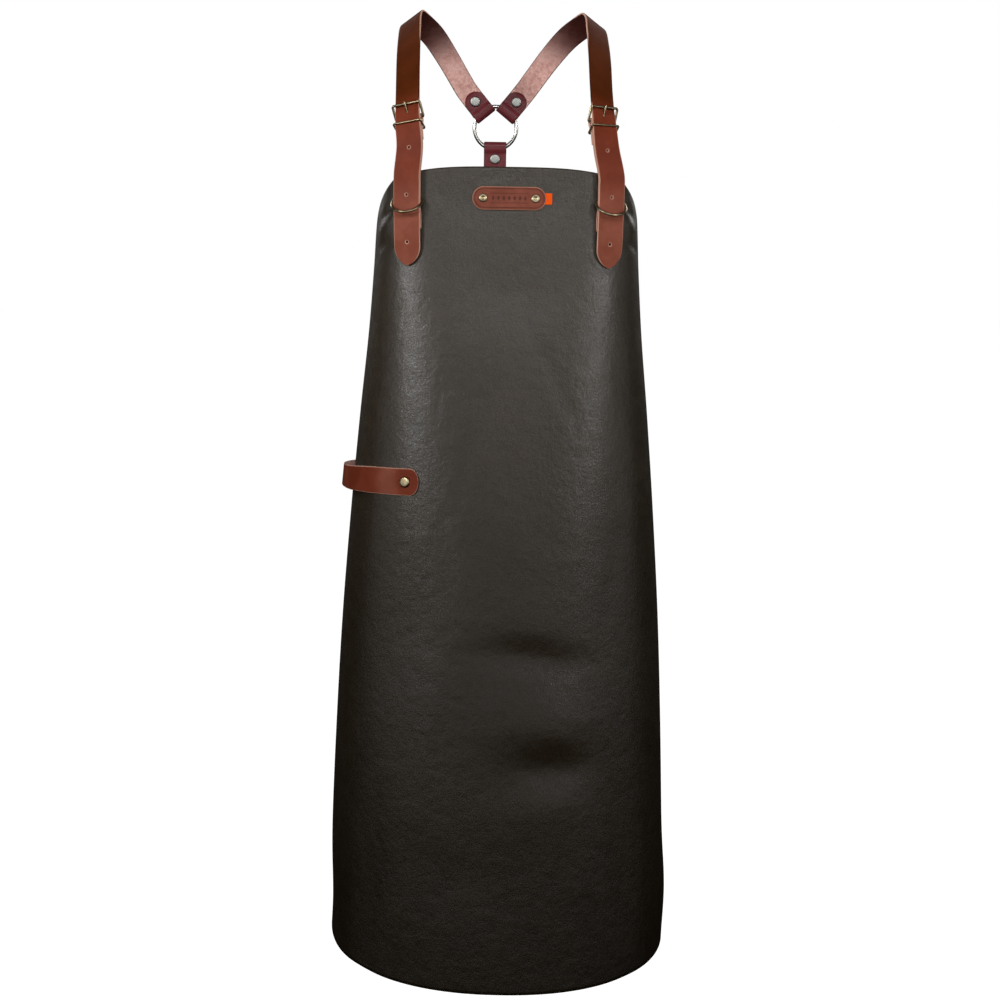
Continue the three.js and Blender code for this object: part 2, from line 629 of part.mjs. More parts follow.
  const legs = halfWidth + wireSideGap + buckleWire;
  piece('buckle_frame', wire({
    centre: hingeCentre, u: hinge.across, v: frameUp, radius: buckleWire, sides: 6,
    path: roundedRectangle(-legs, 0, legs, buckleLength, 1.9) }), 'antiqueBrass');
  piece('buckle_prong', wire({
    centre: hingeCentre, u: frameUp, v: frameOut, radius: prongWire, path: prongPath,
    sides: 6, closed: false, taper: (share) => 1 - 0.35 * smooth(0.8, 1, share) }), 'antiqueBrass');

  const keeperFront = frameAt(barDistance - keeperDistance);
  const keeperRear = frameAt(barDistance - keeperDistance - keeperSlant);
  const rearOffset = behind + baseThickness * 1.5 + 3 * layerGap + keeperWire;
  const frontBar = add(keeperFront.point,
    [keeperFront.out, strapThickness / 2 + layerGap + keeperWire]);
  const rearBar = add(keeperRear.point, [keeperRear.out, -rearOffset]);
  const keeperDepth = frontBar.distanceTo(rearBar);
  const keeperLegs = halfWidth + wireSideGap + keeperWire;
  piece('strap_keeper', wire({
    centre: rearBar, u: keeperFront.across, v: frontBar.clone().sub(rearBar).normalize(),
    radius: keeperWire, sides: 6,
    path: roundedRectangle(-keeperLegs, 0, keeperLegs, keeperDepth, 1.6) }), 'antiqueBrass');

  const seat = sheetFrame(-strapOnBib, -dRingDrop);
  const bowLegs = halfWidth + wireSideGap + dRingWire;
  const straight = dRingLength - bowLegs;
  const bow = Array.from({ length: 11 }, (_, i) => {
    const angle = Math.PI * i / 10;
    return [bowLegs * Math.cos(angle), straight + bowLegs * Math.sin(angle)];
  });
  const corner = roundedRectangle(-bowLegs, 0, bowLegs, dRingLength, 2).slice(8);
  piece('d_ring', wire({
    centre: add(seat.point, [seat.out, sheetLift + dRingWire]), u: seat.across,
    v: add(new THREE.Vector3(), [seat.rise, -Math.cos(dRingTilt)], [seat.out, Math.sin(dRingTilt)]),
    radius: dRingWire, path: [...bow, ...corner] }), 'antiqueBrass');
  return { bibRivet, ringRivet };
}

const mirrorPoint = (vector) => new THREE.Vector3(-vector.x, vector.y, vector.z);
const leftRivets = addHarnessSide('left', (geometry) => geometry, -ringSway);
const rightRivets = addHarnessSide('right', mirrored, ringSway);
const { bibRivet } = leftRivets;

// Rivets of the harness: one through each base strap and the bib, one on each fold.
const bibGrip = sheetThickness + sheetLift + baseThickness + footRoom;
const bibGripMiddle = add(bibRivet.point,
  [bibRivet.out, sheetLift + baseThickness - bibGrip / 2]);
const ringGrip = 2 * strapThickness + layerGap;
const forward = backward.clone().negate();
for (const [name, place, rivets] of [
  ['left', (vector) => vector, leftRivets], ['right', mirrorPoint, rightRivets]]) {
  addRivet(`bib_rivet_${name}`, flatRivet, bibGrip,
    place(bibGripMiddle), place(bibRivet.out), 'antiqueBrass');
  addRivet(`ring_rivet_${name}`, domeRivet, ringGrip,
    place(rivets.ringRivet), forward, 'nickel');
}

addPiece('back_ring', wire({
  centre: ringCentre, u: new THREE.Vector3(1, 0, 0), v: up, radius: ringWire,
  path: Array.from({ length: 28 }, (_, i) => {
    const angle = 2 * Math.PI * i / 28;
    return [ringRadius * Math.cos(angle), ringRadius * Math.sin(angle)];
  }) }), 'nickel');

// Waist strap: along the sheet at the front left, then round the back.
const waistForm = formAt(-waistDrop);
const waistStart = angleAtArc(waistForm, waistRivetArc - waistTabMargin);
const waistFarRivetArc = waistForm.reach * hemHalfCut - waistEdgeMargin;
const waistEnd = 2 * Math.PI - angleAtArc(waistForm, waistFarRivetArc - waistTabMargin);

// Point of the strap's middle line, raised or lowered by rise along the body's form.
function waistPoint(share, rise = 0) {
  const { lift, sag, back } = readTable(waistRun, 'along', share);
  const angle = lerp(waistStart, waistEnd, share);
  const z = -waistDrop - waistBackSag * sag + rise;
  const form = formAt(z);
  const behind = { ...waistForm, depth: waistBackDepth / hemDepth, square: 2.2 };
  const radius = lerp(
    sectionRadius(form, angle), sectionRadius(behind, angle), back);
  const inside = (sheetThickness + 2 * sheetLift + strapThickness) * smooth(0.78, 0.9, share);
  const reach = radius + sheetLift + strapThickness / 2 + waistBow * lift - inside;
  return new THREE.Vector3(-reach * Math.sin(angle), -reach * Math.cos(angle), z);
}

function waistFrame(share) {
  const step = 0.002;
  const along = waistPoint(Math.min(share + step, 1)).sub(waistPoint(Math.max(share - step, 0)));
  along.normalize();
  const guide = waistPoint(share, 5).sub(waistPoint(share, -5)).normalize();
  const across = guide.addScaledVector(along, -guide.dot(along)).normalize();
  return { point: waistPoint(share), along, across, out: across.clone().cross(along) };
}

const waistLength = (() => {
  let length = 0;
  for (let i = 0; i < 400; i += 1) {
    length += waistPoint(i / 400).distanceTo(waistPoint((i + 1) / 400));
  }
  return length;
})();
const waistHalf = waistStrapWidth / 2;
const waistShares = [
  ...roundedEnd(waistTipLength).map((distance) => distance / waistLength),
  ...Array.from({ length: 38 }, (_, i) => lerp(
    waistTipLength / waistLength, 1 - waistTipLength / waistLength, (i + 1) / 39)),
  ...roundedEnd(waistTipLength).map((distance) => 1 - distance / waistLength).reverse()];
const waistStations = waistShares.map((share) => {
  const slim = lerp(
    waistHalf, waistStrapBackWidth / 2, smooth(0.06, 0.24, share) * (1 - smooth(0.85, 1, share)));
  const end = Math.min(share, 1 - share) * waistLength * waistHalf / waistTipLength;
  return { ...waistFrame(share), half: Math.min(slim, roundedHalf(waistHalf, end)) };
});
const nearShare = waistTabMargin / waistLength;
const waistRivets = [nearShare, 1 - nearShare].map(waistFrame);
addPiece('waist_strap', cutAway(strap(waistStations, strapThickness), waistRivets.map(
  ({ point, out }) => punch(point, out, shankRadius + shankGap))), 'strapLeather');
const waistGrip = strapThickness + sheetLift + sheetThickness + footRoom;
const gripShift = (waistGrip - strapThickness) / 2;
const [nearRivet, farRivet] = waistRivets;
addRivet('waist_rivet_left', domeRivet, waistGrip,
  add(nearRivet.point, [nearRivet.out, -gripShift]), nearRivet.out, 'antiqueBrass');
addRivet('waist_rivet_right', domeRivet, waistGrip,
  add(farRivet.point, [farRivet.out, gripShift]), farRivet.out, 'antiqueBrass');

// Back strap: folded on the ring above and round the waist strap below.
const backHalf = backStrapWidth / 2;
const backShare = (() => {
  let [low, high] = [0.3, 0.8];
  while (high - low > 1e-5) {
    const middle = (low + high) / 2;
    if (waistPoint(middle).x < 0) low = middle;
    else high = middle;
  }
  return low;
})();
const waistBack = waistPoint(backShare);
const loopOffset = strapThickness / 2 + 0.8 + backStrapThickness / 2;
const closeBack = (backStrapThickness + layerGap) / 2;
const loopReach = waistStrapBackWidth / 2 + 1;
const sideways = new THREE.Vector3(1, 0, 0);
const loopPlace = (rise, side) => ({
  point: new THREE.Vector3(0, waistBack.y + side * lerp(
    loopOffset, closeBack, smooth(loopReach + 1, loopReach + 10, rise)), waistBack.z + rise),
  across: sideways, out: backward.clone().multiplyScalar(side), half: backHalf });
const loopRises = [-loopReach, 0, loopReach, loopReach + 4, loopReach + 8, loopReach + 13];
const backRivetRise = loopReach + 16;
const loopTabEnd = backRivetRise + 14;
const loopRound = roundedEnd(backHalf).map((distance) => ({
  ...loopPlace(loopTabEnd - distance, -1), half: roundedHalf(backHalf, distance) }));
const loopTab = loopRises.filter((rise) => rise < loopTabEnd - backHalf)
  .reverse().map((rise) => loopPlace(rise, -1));
const loopTurn = Array.from({ length: 5 }, (_, i) => {
  const angle = Math.PI * (i + 1) / 6;
  const out = new THREE.Vector3(0, -Math.cos(angle), -Math.sin(angle));
  return { point: add(new THREE.Vector3(0, waistBack.y, waistBack.z - loopReach), [out, loopOffset]),
    across: sideways, out, half: backHalf };
});
const loopMain = [...loopRises, loopReach + 24, loopReach + 34].map((rise) => loopPlace(rise, 1));
const backRingEnd = ringEnd({
  centre: ringCentre, along: new THREE.Vector3(0, 0, -1), across: sideways, half: backHalf,
  thickness: backStrapThickness, farthest: 76, tabEnd: backTabEnd, forward: () => 0 });
const [hangTop, hangFoot] = [backRingEnd[0].point, loopMain.at(-1).point];
const hang = Array.from({ length: 9 }, (_, i) => {
  const share = (i + 1) / 10;
  const point = hangFoot.clone().lerp(hangTop, smooth(0, 1, share));
  point.z = lerp(hangFoot.z, hangTop.z, share);
  return { point, across: sideways, out: backward, half: backHalf };
});
const backRivet = new THREE.Vector3(0, waistBack.y, waistBack.z + backRivetRise);
const centreRivet = add(ringCentre, [up, -centreRivetDistance]);
addPiece('back_strap', cutAway(
  strap([...loopRound, ...loopTab, ...loopTurn, ...loopMain, ...hang, ...backRingEnd],
    backStrapThickness),
  [punch(backRivet, backward, shankRadius + shankGap),
    punch(centreRivet, backward, shankRadius + shankGap)]), 'strapLeather');
const backGrip = 2 * backStrapThickness + layerGap;
addRivet('back_strap_rivet', domeRivet, backGrip, backRivet, backward, 'antiqueBrass');
addRivet('ring_rivet_centre', domeRivet, backGrip, centreRivet, forward, 'nickel');

// Patch: a rounded bar of leather on the bib, with a cloth tag under its right end.
const patchFrame = (arc, lift) => {
  const frame = sheetFrame(arc, -patchDrop);
  return { point: add(frame.point, [frame.out, lift]), across: frame.rise, out: frame.out };
};
const patchHalf = patchHeight / 2;
const patchEnds = roundedEnd(patchHalf).map((distance) => distance - patchLength / 2);
const patchMiddle = [-2, -1, 0, 1, 2].map((i) => i * (patchLength / 2 - patchHalf) / 3);
const patchArcs = [...patchEnds, ...patchMiddle, ...patchEnds.map((arc) => -arc).reverse()];
const patch = strap(patchArcs.map((arc) => ({
  ...patchFrame(arc, sheetLift + patchThickness / 2),
  half: roundedHalf(patchHalf, patchLength / 2 - Math.abs(arc)) })), patchThickness);
const tagStart = patchLength / 2 - tagTuck;
const tagArcs = [tagStart, patchLength / 2, patchLength / 2 + tagLength];
const tagStrip = (clearance) => strap(tagArcs.map((arc, i) => ({
  ...patchFrame(arc - (i === 0 ? clearance : 0), sheetLift + tagThickness / 2),
  half: tagWidth / 2 + clearance })), tagThickness + 2 * clearance);
const patchRivets = [-1, 1].map((side) => patchFrame(side * patchRivetSpan / 2, 0));
addPiece('patch', cutAway(patch, [
  tagStrip(layerGap + 0.05),
  ...patchRivets.map(({ point, out }) => punch(point, out, shankRadius + shankGap))]),
'patchLeather');
addPiece('side_tag', tagStrip(0), 'tagCloth');
const patchGrip = sheetThickness + sheetLift + patchThickness + footRoom;
patchRivets.forEach(({ point, out }, i) => {
  addRivet(`patch_rivet_${['left', 'right'][i]}`, patchRivet, patchGrip,
    add(point, [out, sheetLift + patchThickness - patchGrip / 2]), out, 'antiqueBrass');
});

// Apron sheet: a grid over its cut outline, with a hole for every rivet.
const sheetColumns = 32;
const sheetRows = 24;
const sheetWall = Array.from({ length: sheetRows + 1 }, (_, i) => {
  const down = (i / sheetRows) ** 1.15;
  const reach = readTable(sheetForm, 'down', down).reach * hemHalfCut;
  return Array.from({ length: sheetColumns + 1 }, (_column, k) => {
    const share = 2 * k / sheetColumns - 1;
    const corner = cornerDrop * Math.abs(share) ** 3.5 * (1 - down) ** 9;
    const belly = (hemBelly - hemRise * Math.abs(share) ** 2.5 + hemTilt * share) * down ** 8;
    const { point, out } = sheetFrame(
      share * reach, -bibDrop - corner - belly - down * sheetDrop);
    return { front: point, back: add(point, [out, -sheetThickness]) };
  });
});
const sheetHoles = [
  { point: bibRivet.point, out: bibRivet.out },
  { point: mirrorPoint(bibRivet.point), out: mirrorPoint(bibRivet.out) },
  ...patchRivets, ...waistRivets];
addPiece('apron_body', cutAway(wall(sheetWall), sheetHoles.map(
  ({ point, out }) => punch(point, out, shankRadius + shankGap))), 'apronLeather');

export default apron;
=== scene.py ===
"""Leather work apron with a shoulder harness, in the form it takes when worn.

Metres, +Z up, the front faces -Y. The origin lies between the two places where the
shoulder straps cross the shoulders. Left and right are the viewer's.
"""
import bpy
import numpy as np
from mathutils import Matrix


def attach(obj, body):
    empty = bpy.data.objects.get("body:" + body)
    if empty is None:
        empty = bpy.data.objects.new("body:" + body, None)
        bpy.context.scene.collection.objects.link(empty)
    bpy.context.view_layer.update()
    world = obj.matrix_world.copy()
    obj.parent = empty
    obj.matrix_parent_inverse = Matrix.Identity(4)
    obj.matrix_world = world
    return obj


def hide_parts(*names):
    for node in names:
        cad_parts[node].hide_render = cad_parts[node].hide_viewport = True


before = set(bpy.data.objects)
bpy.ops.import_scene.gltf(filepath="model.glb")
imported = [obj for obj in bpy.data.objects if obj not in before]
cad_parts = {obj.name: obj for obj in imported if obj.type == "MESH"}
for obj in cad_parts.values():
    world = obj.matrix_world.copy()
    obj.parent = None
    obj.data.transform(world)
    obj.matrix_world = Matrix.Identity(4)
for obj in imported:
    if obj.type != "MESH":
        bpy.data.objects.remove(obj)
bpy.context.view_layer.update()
mm = 0.001

# Apron body: one sheet of pebbled leather, 1.8 mm thick, with a straight bib, arm curves
# and a wide skirt. It is cut in one piece, left raw at the edges, and hangs in soft folds
# round the body from the two short straps riveted on the bib.
BIB_DROP = 184.5 * mm
SHEET_DROP = 986 * mm
HEM_HALF_WIDTH = 218 * mm
HEM_DEPTH = 194 * mm
HEM_HALF_CUT = 380 * mm
CORNER_DROP = 14 * mm
HEM_BELLY, HEM_RISE, HEM_TILT = 5 * mm, 20 * mm, 6 * mm
SHEET_THICKNESS = 1.8 * mm
SHEET_LIFT = 0.5 * mm

# down, width, depth, reach, square: shares of the drop, the hem's half width, its depth
# and half of its cut length, and the exponent of the rounded-square section.
sheet_form = np.array([
    (0.00, 0.700, 0.560, 0.362, 5.20),
    (0.03, 0.714, 0.567, 0.440, 5.00),
    (0.06, 0.730, 0.580, 0.500, 4.70),
    (0.12, 0.747, 0.615, 0.590, 4.10),
    (0.20, 0.776, 0.670, 0.700, 3.50),
    (0.30, 0.824, 0.738, 0.800, 3.00),
    (0.42, 0.875, 0.810, 0.862, 2.65),
    (0.56, 0.925, 0.873, 0.905, 2.40),
    (0.70, 0.960, 0.925, 0.938, 2.28),
    (0.85, 0.987, 0.970, 0.970, 2.20),
    (1.00, 1.000, 1.000, 1.000, 2.15),
])

# across, down, wide, tall, push, lean: the large dents. The solid has them too, the first
# four a little deeper.
dents = np.array([
    (0.09, 0.588, 0.15, 0.022, -0.027, -7),
    (0.12, 0.668, 0.17, 0.040, 0.024, -8),
    (0.16, 0.724, 0.11, 0.026, -0.022, 2),
    (0.13, 0.775, 0.13, 0.038, 0.009, 6),
    (-0.30, 0.560, 0.10, 0.090, -0.012, -8),
    (-0.12, 0.860, 0.20, 0.050, -0.010, -14),
    (0.42, 0.880, 0.07, 0.110, -0.016, 6),
    (-0.46, 0.900, 0.07, 0.110, -0.016, -6),
    (0.00, 0.150, 0.16, 0.040, -0.010, 0),
    (0.80, 0.930, 0.18, 0.060, 0.022, 0),
    (-0.80, 0.950, 0.18, 0.060, -0.015, 0),
])

# The same columns for the small creases that only the leather shows.
creases = np.array([
    (-0.385, 0.052, 0.045, 0.005, -0.0080, 34),
    (-0.395, 0.070, 0.045, 0.006, 0.0060, 30),
    (-0.400, 0.092, 0.040, 0.005, -0.0060, 16),
    (0.385, 0.046, 0.045, 0.005, -0.0080, -36),
    (0.400, 0.066, 0.045, 0.006, 0.0060, -28),
    (0.410, 0.090, 0.040, 0.005, -0.0060, -16),
    (-0.310, 0.120, 0.060, 0.006, -0.0020, 8),
    (-0.290, 0.145, 0.050, 0.007, 0.0020, -10),
    (0.330, 0.130, 0.060, 0.006, -0.0020, -8),
    (0.340, 0.160, 0.050, 0.008, 0.0020, 12),
    (0.120, 0.640, 0.070, 0.008, 0.0014, -6),
    (0.180, 0.668, 0.060, 0.007, -0.0014, -16),
    (0.130, 0.235, 0.030, 0.075, -0.0040, 25),
    (-0.110, 0.330, 0.030, 0.080, -0.0035, -15),
    (0.020, 0.430, 0.050, 0.050, 0.0040, 20),
    (-0.180, 0.480, 0.030, 0.060, -0.0035, 10),
    (-0.240, 0.700, 0.026, 0.080, 0.0035, -6),
    (0.350, 0.500, 0.030, 0.080, -0.0035, -8),
])


def read_table(table, at):
    """Columns of a table at values of its first: a cubic through the rows, with each
    slope taken from the rows on both sides."""
    keys, values = table[:, 0], table[:, 1:]
    last = len(keys) - 1
    row = np.clip(np.searchsorted(keys, at) - 1, 0, last - 1)
    before, after = np.maximum(row - 1, 0), np.minimum(row + 2, last)
    step = (keys[row + 1] - keys[row])[..., None]
    share = np.clip((at - keys[row])[..., None] / step, 0, 1)
    slope_in = (values[row + 1] - values[before]) / (keys[row + 1] - keys[before])[..., None]
    slope_out = (values[after] - values[row]) / (keys[after] - keys[row])[..., None]
    rise = values[row + 1] - values[row]
    bend = 3 * rise - (2 * slope_in + slope_out) * step
    twist = (slope_in + slope_out) * step - 2 * rise
    return values[row] + share * (slope_in * step + share * (bend + share * twist))


def smooth(start, end, at):
    """Soft step from 0 at start to 1 at end: three squares less two cubes."""
    share = np.clip((at - start) / (end - start), 0, 1)
    return share * share * (3 - 2 * share)


def section_radius(width, depth, square, angle):
    """Radius of a rounded square: the power mean of its reach sideways and ahead."""
    side = np.abs(np.sin(angle)) / (width * HEM_HALF_WIDTH)
    ahead = np.abs(np.cos(angle)) / (depth * HEM_DEPTH)
    return (side ** square + ahead ** square) ** (-1 / square)


def angle_at_arc(width, depth, square, arc):
    """Angle at which the section's length from the middle reaches an arc, found on its
    summed chords."""
    angles = np.radians(135) * np.arange(73) / 72
    radius = section_radius(width[..., None], depth[..., None], square[..., None], angles)
    x, y = radius * np.sin(angles), radius * np.cos(angles)
    length = np.cumsum(np.hypot(np.diff(x), np.diff(y)), axis=-1)
    length = np.concatenate([np.zeros_like(length[..., :1]), length], axis=-1)
    reach = np.abs(arc)[..., None]
    step = np.clip((length < reach).sum(axis=-1, keepdims=True) - 1, 0, 71)
    start = np.take_along_axis(length, step, -1)
    end = np.take_along_axis(length, step + 1, -1)
    return np.sign(arc) * np.radians(135) / 72 * (step + (reach - start) / (end - start))[..., 0]


def push_of(table, arc, z):
    """Sum of the dents of a table: each is a bell, long across and short down."""
    across, down, wide, tall, push, lean = table.T
    over = arc[..., None] - across * HEM_HALF_CUT
    under = -BIB_DROP - z[..., None] - down * SHEET_DROP
    c, s = np.cos(np.radians(lean)), np.sin(np.radians(lean))
    along = (over * c - under * s) / (wide * HEM_HALF_CUT)
    beside = (over * s + under * c) / (tall * SHEET_DROP)
    return (push * HEM_DEPTH * np.exp(-along * along - beside * beside)).sum(axis=-1)


def sheet_point(arc, z, table=dents):
    """Points of the sheet's face, from the length along its section and the height."""
    arc, z = np.broadcast_arrays(np.asarray(arc, float), np.asarray(z, float))
    width, depth, _, square = np.moveaxis(
        read_table(sheet_form, (-BIB_DROP - z) / SHEET_DROP), -1, 0)
    angle = angle_at_arc(width, depth, square, arc)
    radius = section_radius(width, depth, square, angle) + push_of(table, arc, z)
    return np.stack([radius * np.sin(angle), -radius * np.cos(angle), z], axis=-1)


def unit(vectors):
    """Vectors scaled to length 1."""
    return vectors / np.linalg.norm(vectors, axis=-1, keepdims=True)


def sheet_frame(arc, z, table=dents):
    """Point, across, rise and out of the sheet, from points 2 mm to each side."""
    step = 2 * mm
    across = unit(sheet_point(arc + step, z, table) - sheet_point(arc - step, z, table))
    rise = unit(sheet_point(arc, z + step, table) - sheet_point(arc, z - step, table))
    return sheet_point(arc, z, table), across, rise, unit(np.cross(across, rise))


def add_piece(name, points, faces, slot, uv=None, **marks):
    """A mesh object from points and triangles or quads, turned so that its faces point
    outwards. uv and the named marks hold one value for each point."""
    points = np.asarray(points, float).reshape(-1, 3)
    corners = [np.asarray(face) for face in faces if len(face)]
    volume = sum(
        np.einsum("ij,ij->", points[f[:, 0]], np.cross(points[f[:, k]], points[f[:, k + 1]]))
        for f in corners for k in range(1, f.shape[1] - 1))
    if volume < 0:
        corners = [f[:, ::-1] for f in corners]
    loops = np.concatenate([f.ravel() for f in corners]).astype(np.int32)
    sizes = np.concatenate([np.full(len(f), f.shape[1]) for f in corners])
    mesh = bpy.data.meshes.new(name)
    mesh.vertices.add(len(points))
    mesh.vertices.foreach_set("co", points.astype(np.float32).ravel())
    mesh.loops.add(len(loops))
    mesh.loops.foreach_set("vertex_index", loops)
    mesh.polygons.add(len(sizes))
    mesh.polygons.foreach_set(
        "loop_start", np.concatenate([[0], np.cumsum(sizes)[:-1]]).astype(np.int32))
    if uv is not None:
        layer = mesh.uv_layers.new(name="cut")
        layer.data.foreach_set("uv", np.asarray(uv, np.float32).reshape(-1, 2)[loops].ravel())
    for mark, values in marks.items():
        attribute = mesh.attributes.new(mark, "FLOAT", "POINT")
        attribute.data.foreach_set("value", np.asarray(values, np.float32).ravel())
    mesh.update(calc_edges=True)
    mesh.validate()
    mesh.polygons.foreach_set("use_smooth", np.ones(len(mesh.polygons), bool))
    piece = bpy.data.objects.new(name, mesh)
    bpy.context.scene.collection.objects.link(piece)
    mesh.materials.append(finishes[slot])
    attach(piece, "root")
    return piece


def leather(name, slot, front, back, uv, bulge, keep=None, **marks):
    """A piece of leather from its grain face and its flesh face, two grids of points.
    A third ring of points, pushed out by bulge, rounds the cut edge between them. keep
    is False for the cells of both faces that a punched hole removes."""
    rows, columns = front.shape[:2]
    index = np.arange(rows * columns).reshape(rows, columns)
    cells = np.stack([index[:-1, :-1], index[:-1, 1:], index[1:, 1:], index[1:, :-1]], axis=-1)
    keep = np.ones((rows - 1, columns - 1), bool) if keep is None else keep
    cells = cells[keep]
    loop = np.concatenate([
        index[0, :-1], index[:-1, -1], index[-1, :0:-1], index[:0:-1, 0]])
    grain, flesh = front.reshape(-1, 3), back.reshape(-1, 3)
    middle = (grain[loop] + flesh[loop]) / 2
    inner = np.concatenate([
        index[1, :-1], index[:-1, -2], index[-2, :0:-1], index[:0:-1, 1]])
    outward = unit(middle - (grain[inner] + flesh[inner]) / 2)
    rim = middle + bulge * outward
    count = rows * columns
    ring = 2 * count + np.arange(len(loop))
    after = np.roll(loop, -1)
    next_ring = np.roll(ring, -1)
    edge = np.concatenate([
        np.stack([loop, ring, next_ring, after], axis=-1),
        np.stack([ring, loop + count, after + count, next_ring], axis=-1)])
    faces = [cells, cells[:, ::-1] + count, edge]
    # Walls of the punched holes: each cell side that has one kept and one removed cell.
    gone = ~keep
    for axis, (a, b) in enumerate([(index[1:-1, :-1], index[1:-1, 1:]),
                                   (index[:-1, 1:-1], index[1:, 1:-1])]):
        low = gone[:-1, :] if axis == 0 else gone[:, :-1]
        high = gone[1:, :] if axis == 0 else gone[:, 1:]
        for hole_side, turned in ((low & ~high, axis == 0), (high & ~low, axis == 1)):
            start, end = a[hole_side], b[hole_side]
            if turned:
                start, end = end, start
            faces.append(np.stack([start, end, end + count, start + count], axis=-1))
    values = {mark: np.concatenate([
        np.broadcast_to(value, (rows, columns)).ravel(),
        np.broadcast_to(value, (rows, columns)).ravel(),
        np.broadcast_to(value, (rows, columns)).ravel()[loop]]) for mark, value in marks.items()}
    values["cut_edge"] = np.concatenate([np.zeros(2 * count), np.ones(len(loop))])
    values["flesh"] = np.concatenate([np.zeros(count), np.ones(count), np.full(len(loop), 0.5)])
    flat = uv.reshape(-1, 2)
    return add_piece(name, np.concatenate([grain, flesh, rim]), faces, slot,
                     np.concatenate([flat, flat, flat[loop]]), **values)


class Wire:
    """An output socket. Arithmetic on wires and numbers adds Math nodes."""

    def __init__(self, socket):
        self.socket = socket

    def node(self, kind, settings=None, inputs=None, out=0):
        """Adds a node of a kind beside this wire's: settings first, then the values or
        links of its sockets, by name or place. Returns one of its outputs."""
        tree = self.socket.id_data
        made = tree.nodes.new("ShaderNode" + kind)
        for key, value in (settings or {}).items():
            if key == "stops":
                ramp = made.color_ramp
                while len(ramp.elements) < len(value):
                    ramp.elements.new(0.5)
                for element, (place, colour) in zip(ramp.elements, value):
                    element.position = place
                    element.color = (*colour, 1)
            else:
                setattr(made, key, value)
        for key, value in (inputs or {}).items():
            if isinstance(value, Wire):
                tree.links.new(value.socket, made.inputs[key])
            else:
                made.inputs[key].default_value = value
        return Wire(made.outputs[out])

    def math(self, operation, *values):
        return self.node("Math", {"operation": operation}, dict(enumerate(values)))

    def __add__(self, other): return self.math("ADD", self, other)
    def __radd__(self, other): return self.math("ADD", other, self)
    def __sub__(self, other): return self.math("SUBTRACT", self, other)
    def __rsub__(self, other): return self.math("SUBTRACT", other, self)
    def __mul__(self, other): return self.math("MULTIPLY", self, other)
    def __rmul__(self, other): return self.math("MULTIPLY", other, self)
    def __truediv__(self, other): return self.math("DIVIDE", self, other)
    def __pow__(self, other): return self.math("POWER", self, other)

    def between(self, low, high):
        """0 below low, 1 above high and a soft step in between."""
        return self.node("MapRange", {"interpolation_type": "SMOOTHSTEP"},
                         {"Value": self, "From Min": low, "From Max": high})

    def blend(self, first, second):
        """The first colour where this wire is 0 and the second where it is 1."""
        return self.node("Mix", {"data_type": "RGBA"}, {0: self, 6: first, 7: second}, out=2)

    def noise(self, scale, detail=3.0, rough=0.55):
        """Cloudy noise on this wire's coordinates."""
        return self.node("TexNoise", {}, {
            "Vector": self, "Scale": scale, "Detail": detail, "Roughness": rough})

    def mark(self, name):
        """A named mark of the piece's own points."""
        return self.node("Attribute", {"attribute_name": name}, out=2)


finishes = {}


def new_finish(slot):
    """A bare material. Returns its shader's sockets and its coordinates as a wire."""
    material = bpy.data.materials.new(slot)
    material.use_nodes = True
    finishes[slot] = material
    tree = material.node_tree
    shader = tree.nodes["Principled BSDF"].inputs
    place = Wire(tree.nodes.new("ShaderNodeTexCoord").outputs["Object"])
    return shader, place


def feed(shader, **links):
    """Joins wires to a shader's sockets, or sets their plain values."""
    names = {"colour": "Base Color", "rough": "Roughness", "metal": "Metallic",
             "normal": "Normal", "coat": "Coat Weight", "coat_rough": "Coat Roughness",
             "gloss": "Specular IOR Level", "sheen": "Sheen Weight"}
    for key, value in links.items():
        socket = shader[names[key]]
        if isinstance(value, Wire):
            socket.id_data.links.new(value.socket, socket)
        else:
            socket.default_value = value


# Pebbled, drum-dyed cow leather: rounded grains parted by fine creases, with painted shade in the creases,
# brown where the raw edge shows, and a paler nap on the flesh side.
shader, place = new_finish("apron_leather")
stray = place.node("VectorMath", {"operation": "SCALE"}, {
    0: place.node("TexNoise", {}, {"Vector": place, "Scale": 160.0, "Detail": 2.0}, out=1),
    "Scale": 0.0035})
strayed = place.node("VectorMath", {"operation": "ADD"}, {0: place, 1: stray})
grains = strayed.node("TexVoronoi", {"feature": "DISTANCE_TO_EDGE"}, {
    "Vector": strayed, "Scale": 330.0})
grain = grains.between(0.0, 0.22)
hanging = strayed.node("VectorMath", {"operation": "MULTIPLY"}, {0: strayed, 1: (1.0, 1.0, 0.45)})
streak = hanging.noise(150.0, 4.0, 0.6)
wrinkle = place.noise(58.0, 4.0, 0.6)
cloud = place.noise(9.0, 3.0, 0.5)
patina = place.noise(26.0, 5.0, 0.65)
flesh = place.mark("flesh")
cut_edge = place.mark("cut_edge").between(0.3, 0.9)
hide = (cloud * 0.6 + patina * 0.4).between(0.36, 0.66).blend(
    (0.0225, 0.0138, 0.0052, 1), (0.0325, 0.0208, 0.0090, 1))
# Painted shade: darker where the grains part and in the low places of the wrinkles, the hollows of the bump.
hide = (grain * 0.75 + wrinkle * 0.5).between(0.05, 0.85).blend((0.0120, 0.0078, 0.0028, 1), hide)
hide = flesh.between(0.6, 0.9).blend(hide, (0.085, 0.060, 0.042, 1))
hide = cut_edge.blend(hide, (0.026, 0.018, 0.011, 1))
relief = place.node("Bump", {}, {
    "Strength": 0.5, "Distance": 0.0008,
    "Height": grain * 0.12 + streak * 0.7 + wrinkle * 1.7 + patina * 2.6})
feed(shader, colour=hide, rough=0.34 + 0.16 * wrinkle - 0.04 * grain + 0.3 * flesh,
     normal=relief, gloss=0.5)

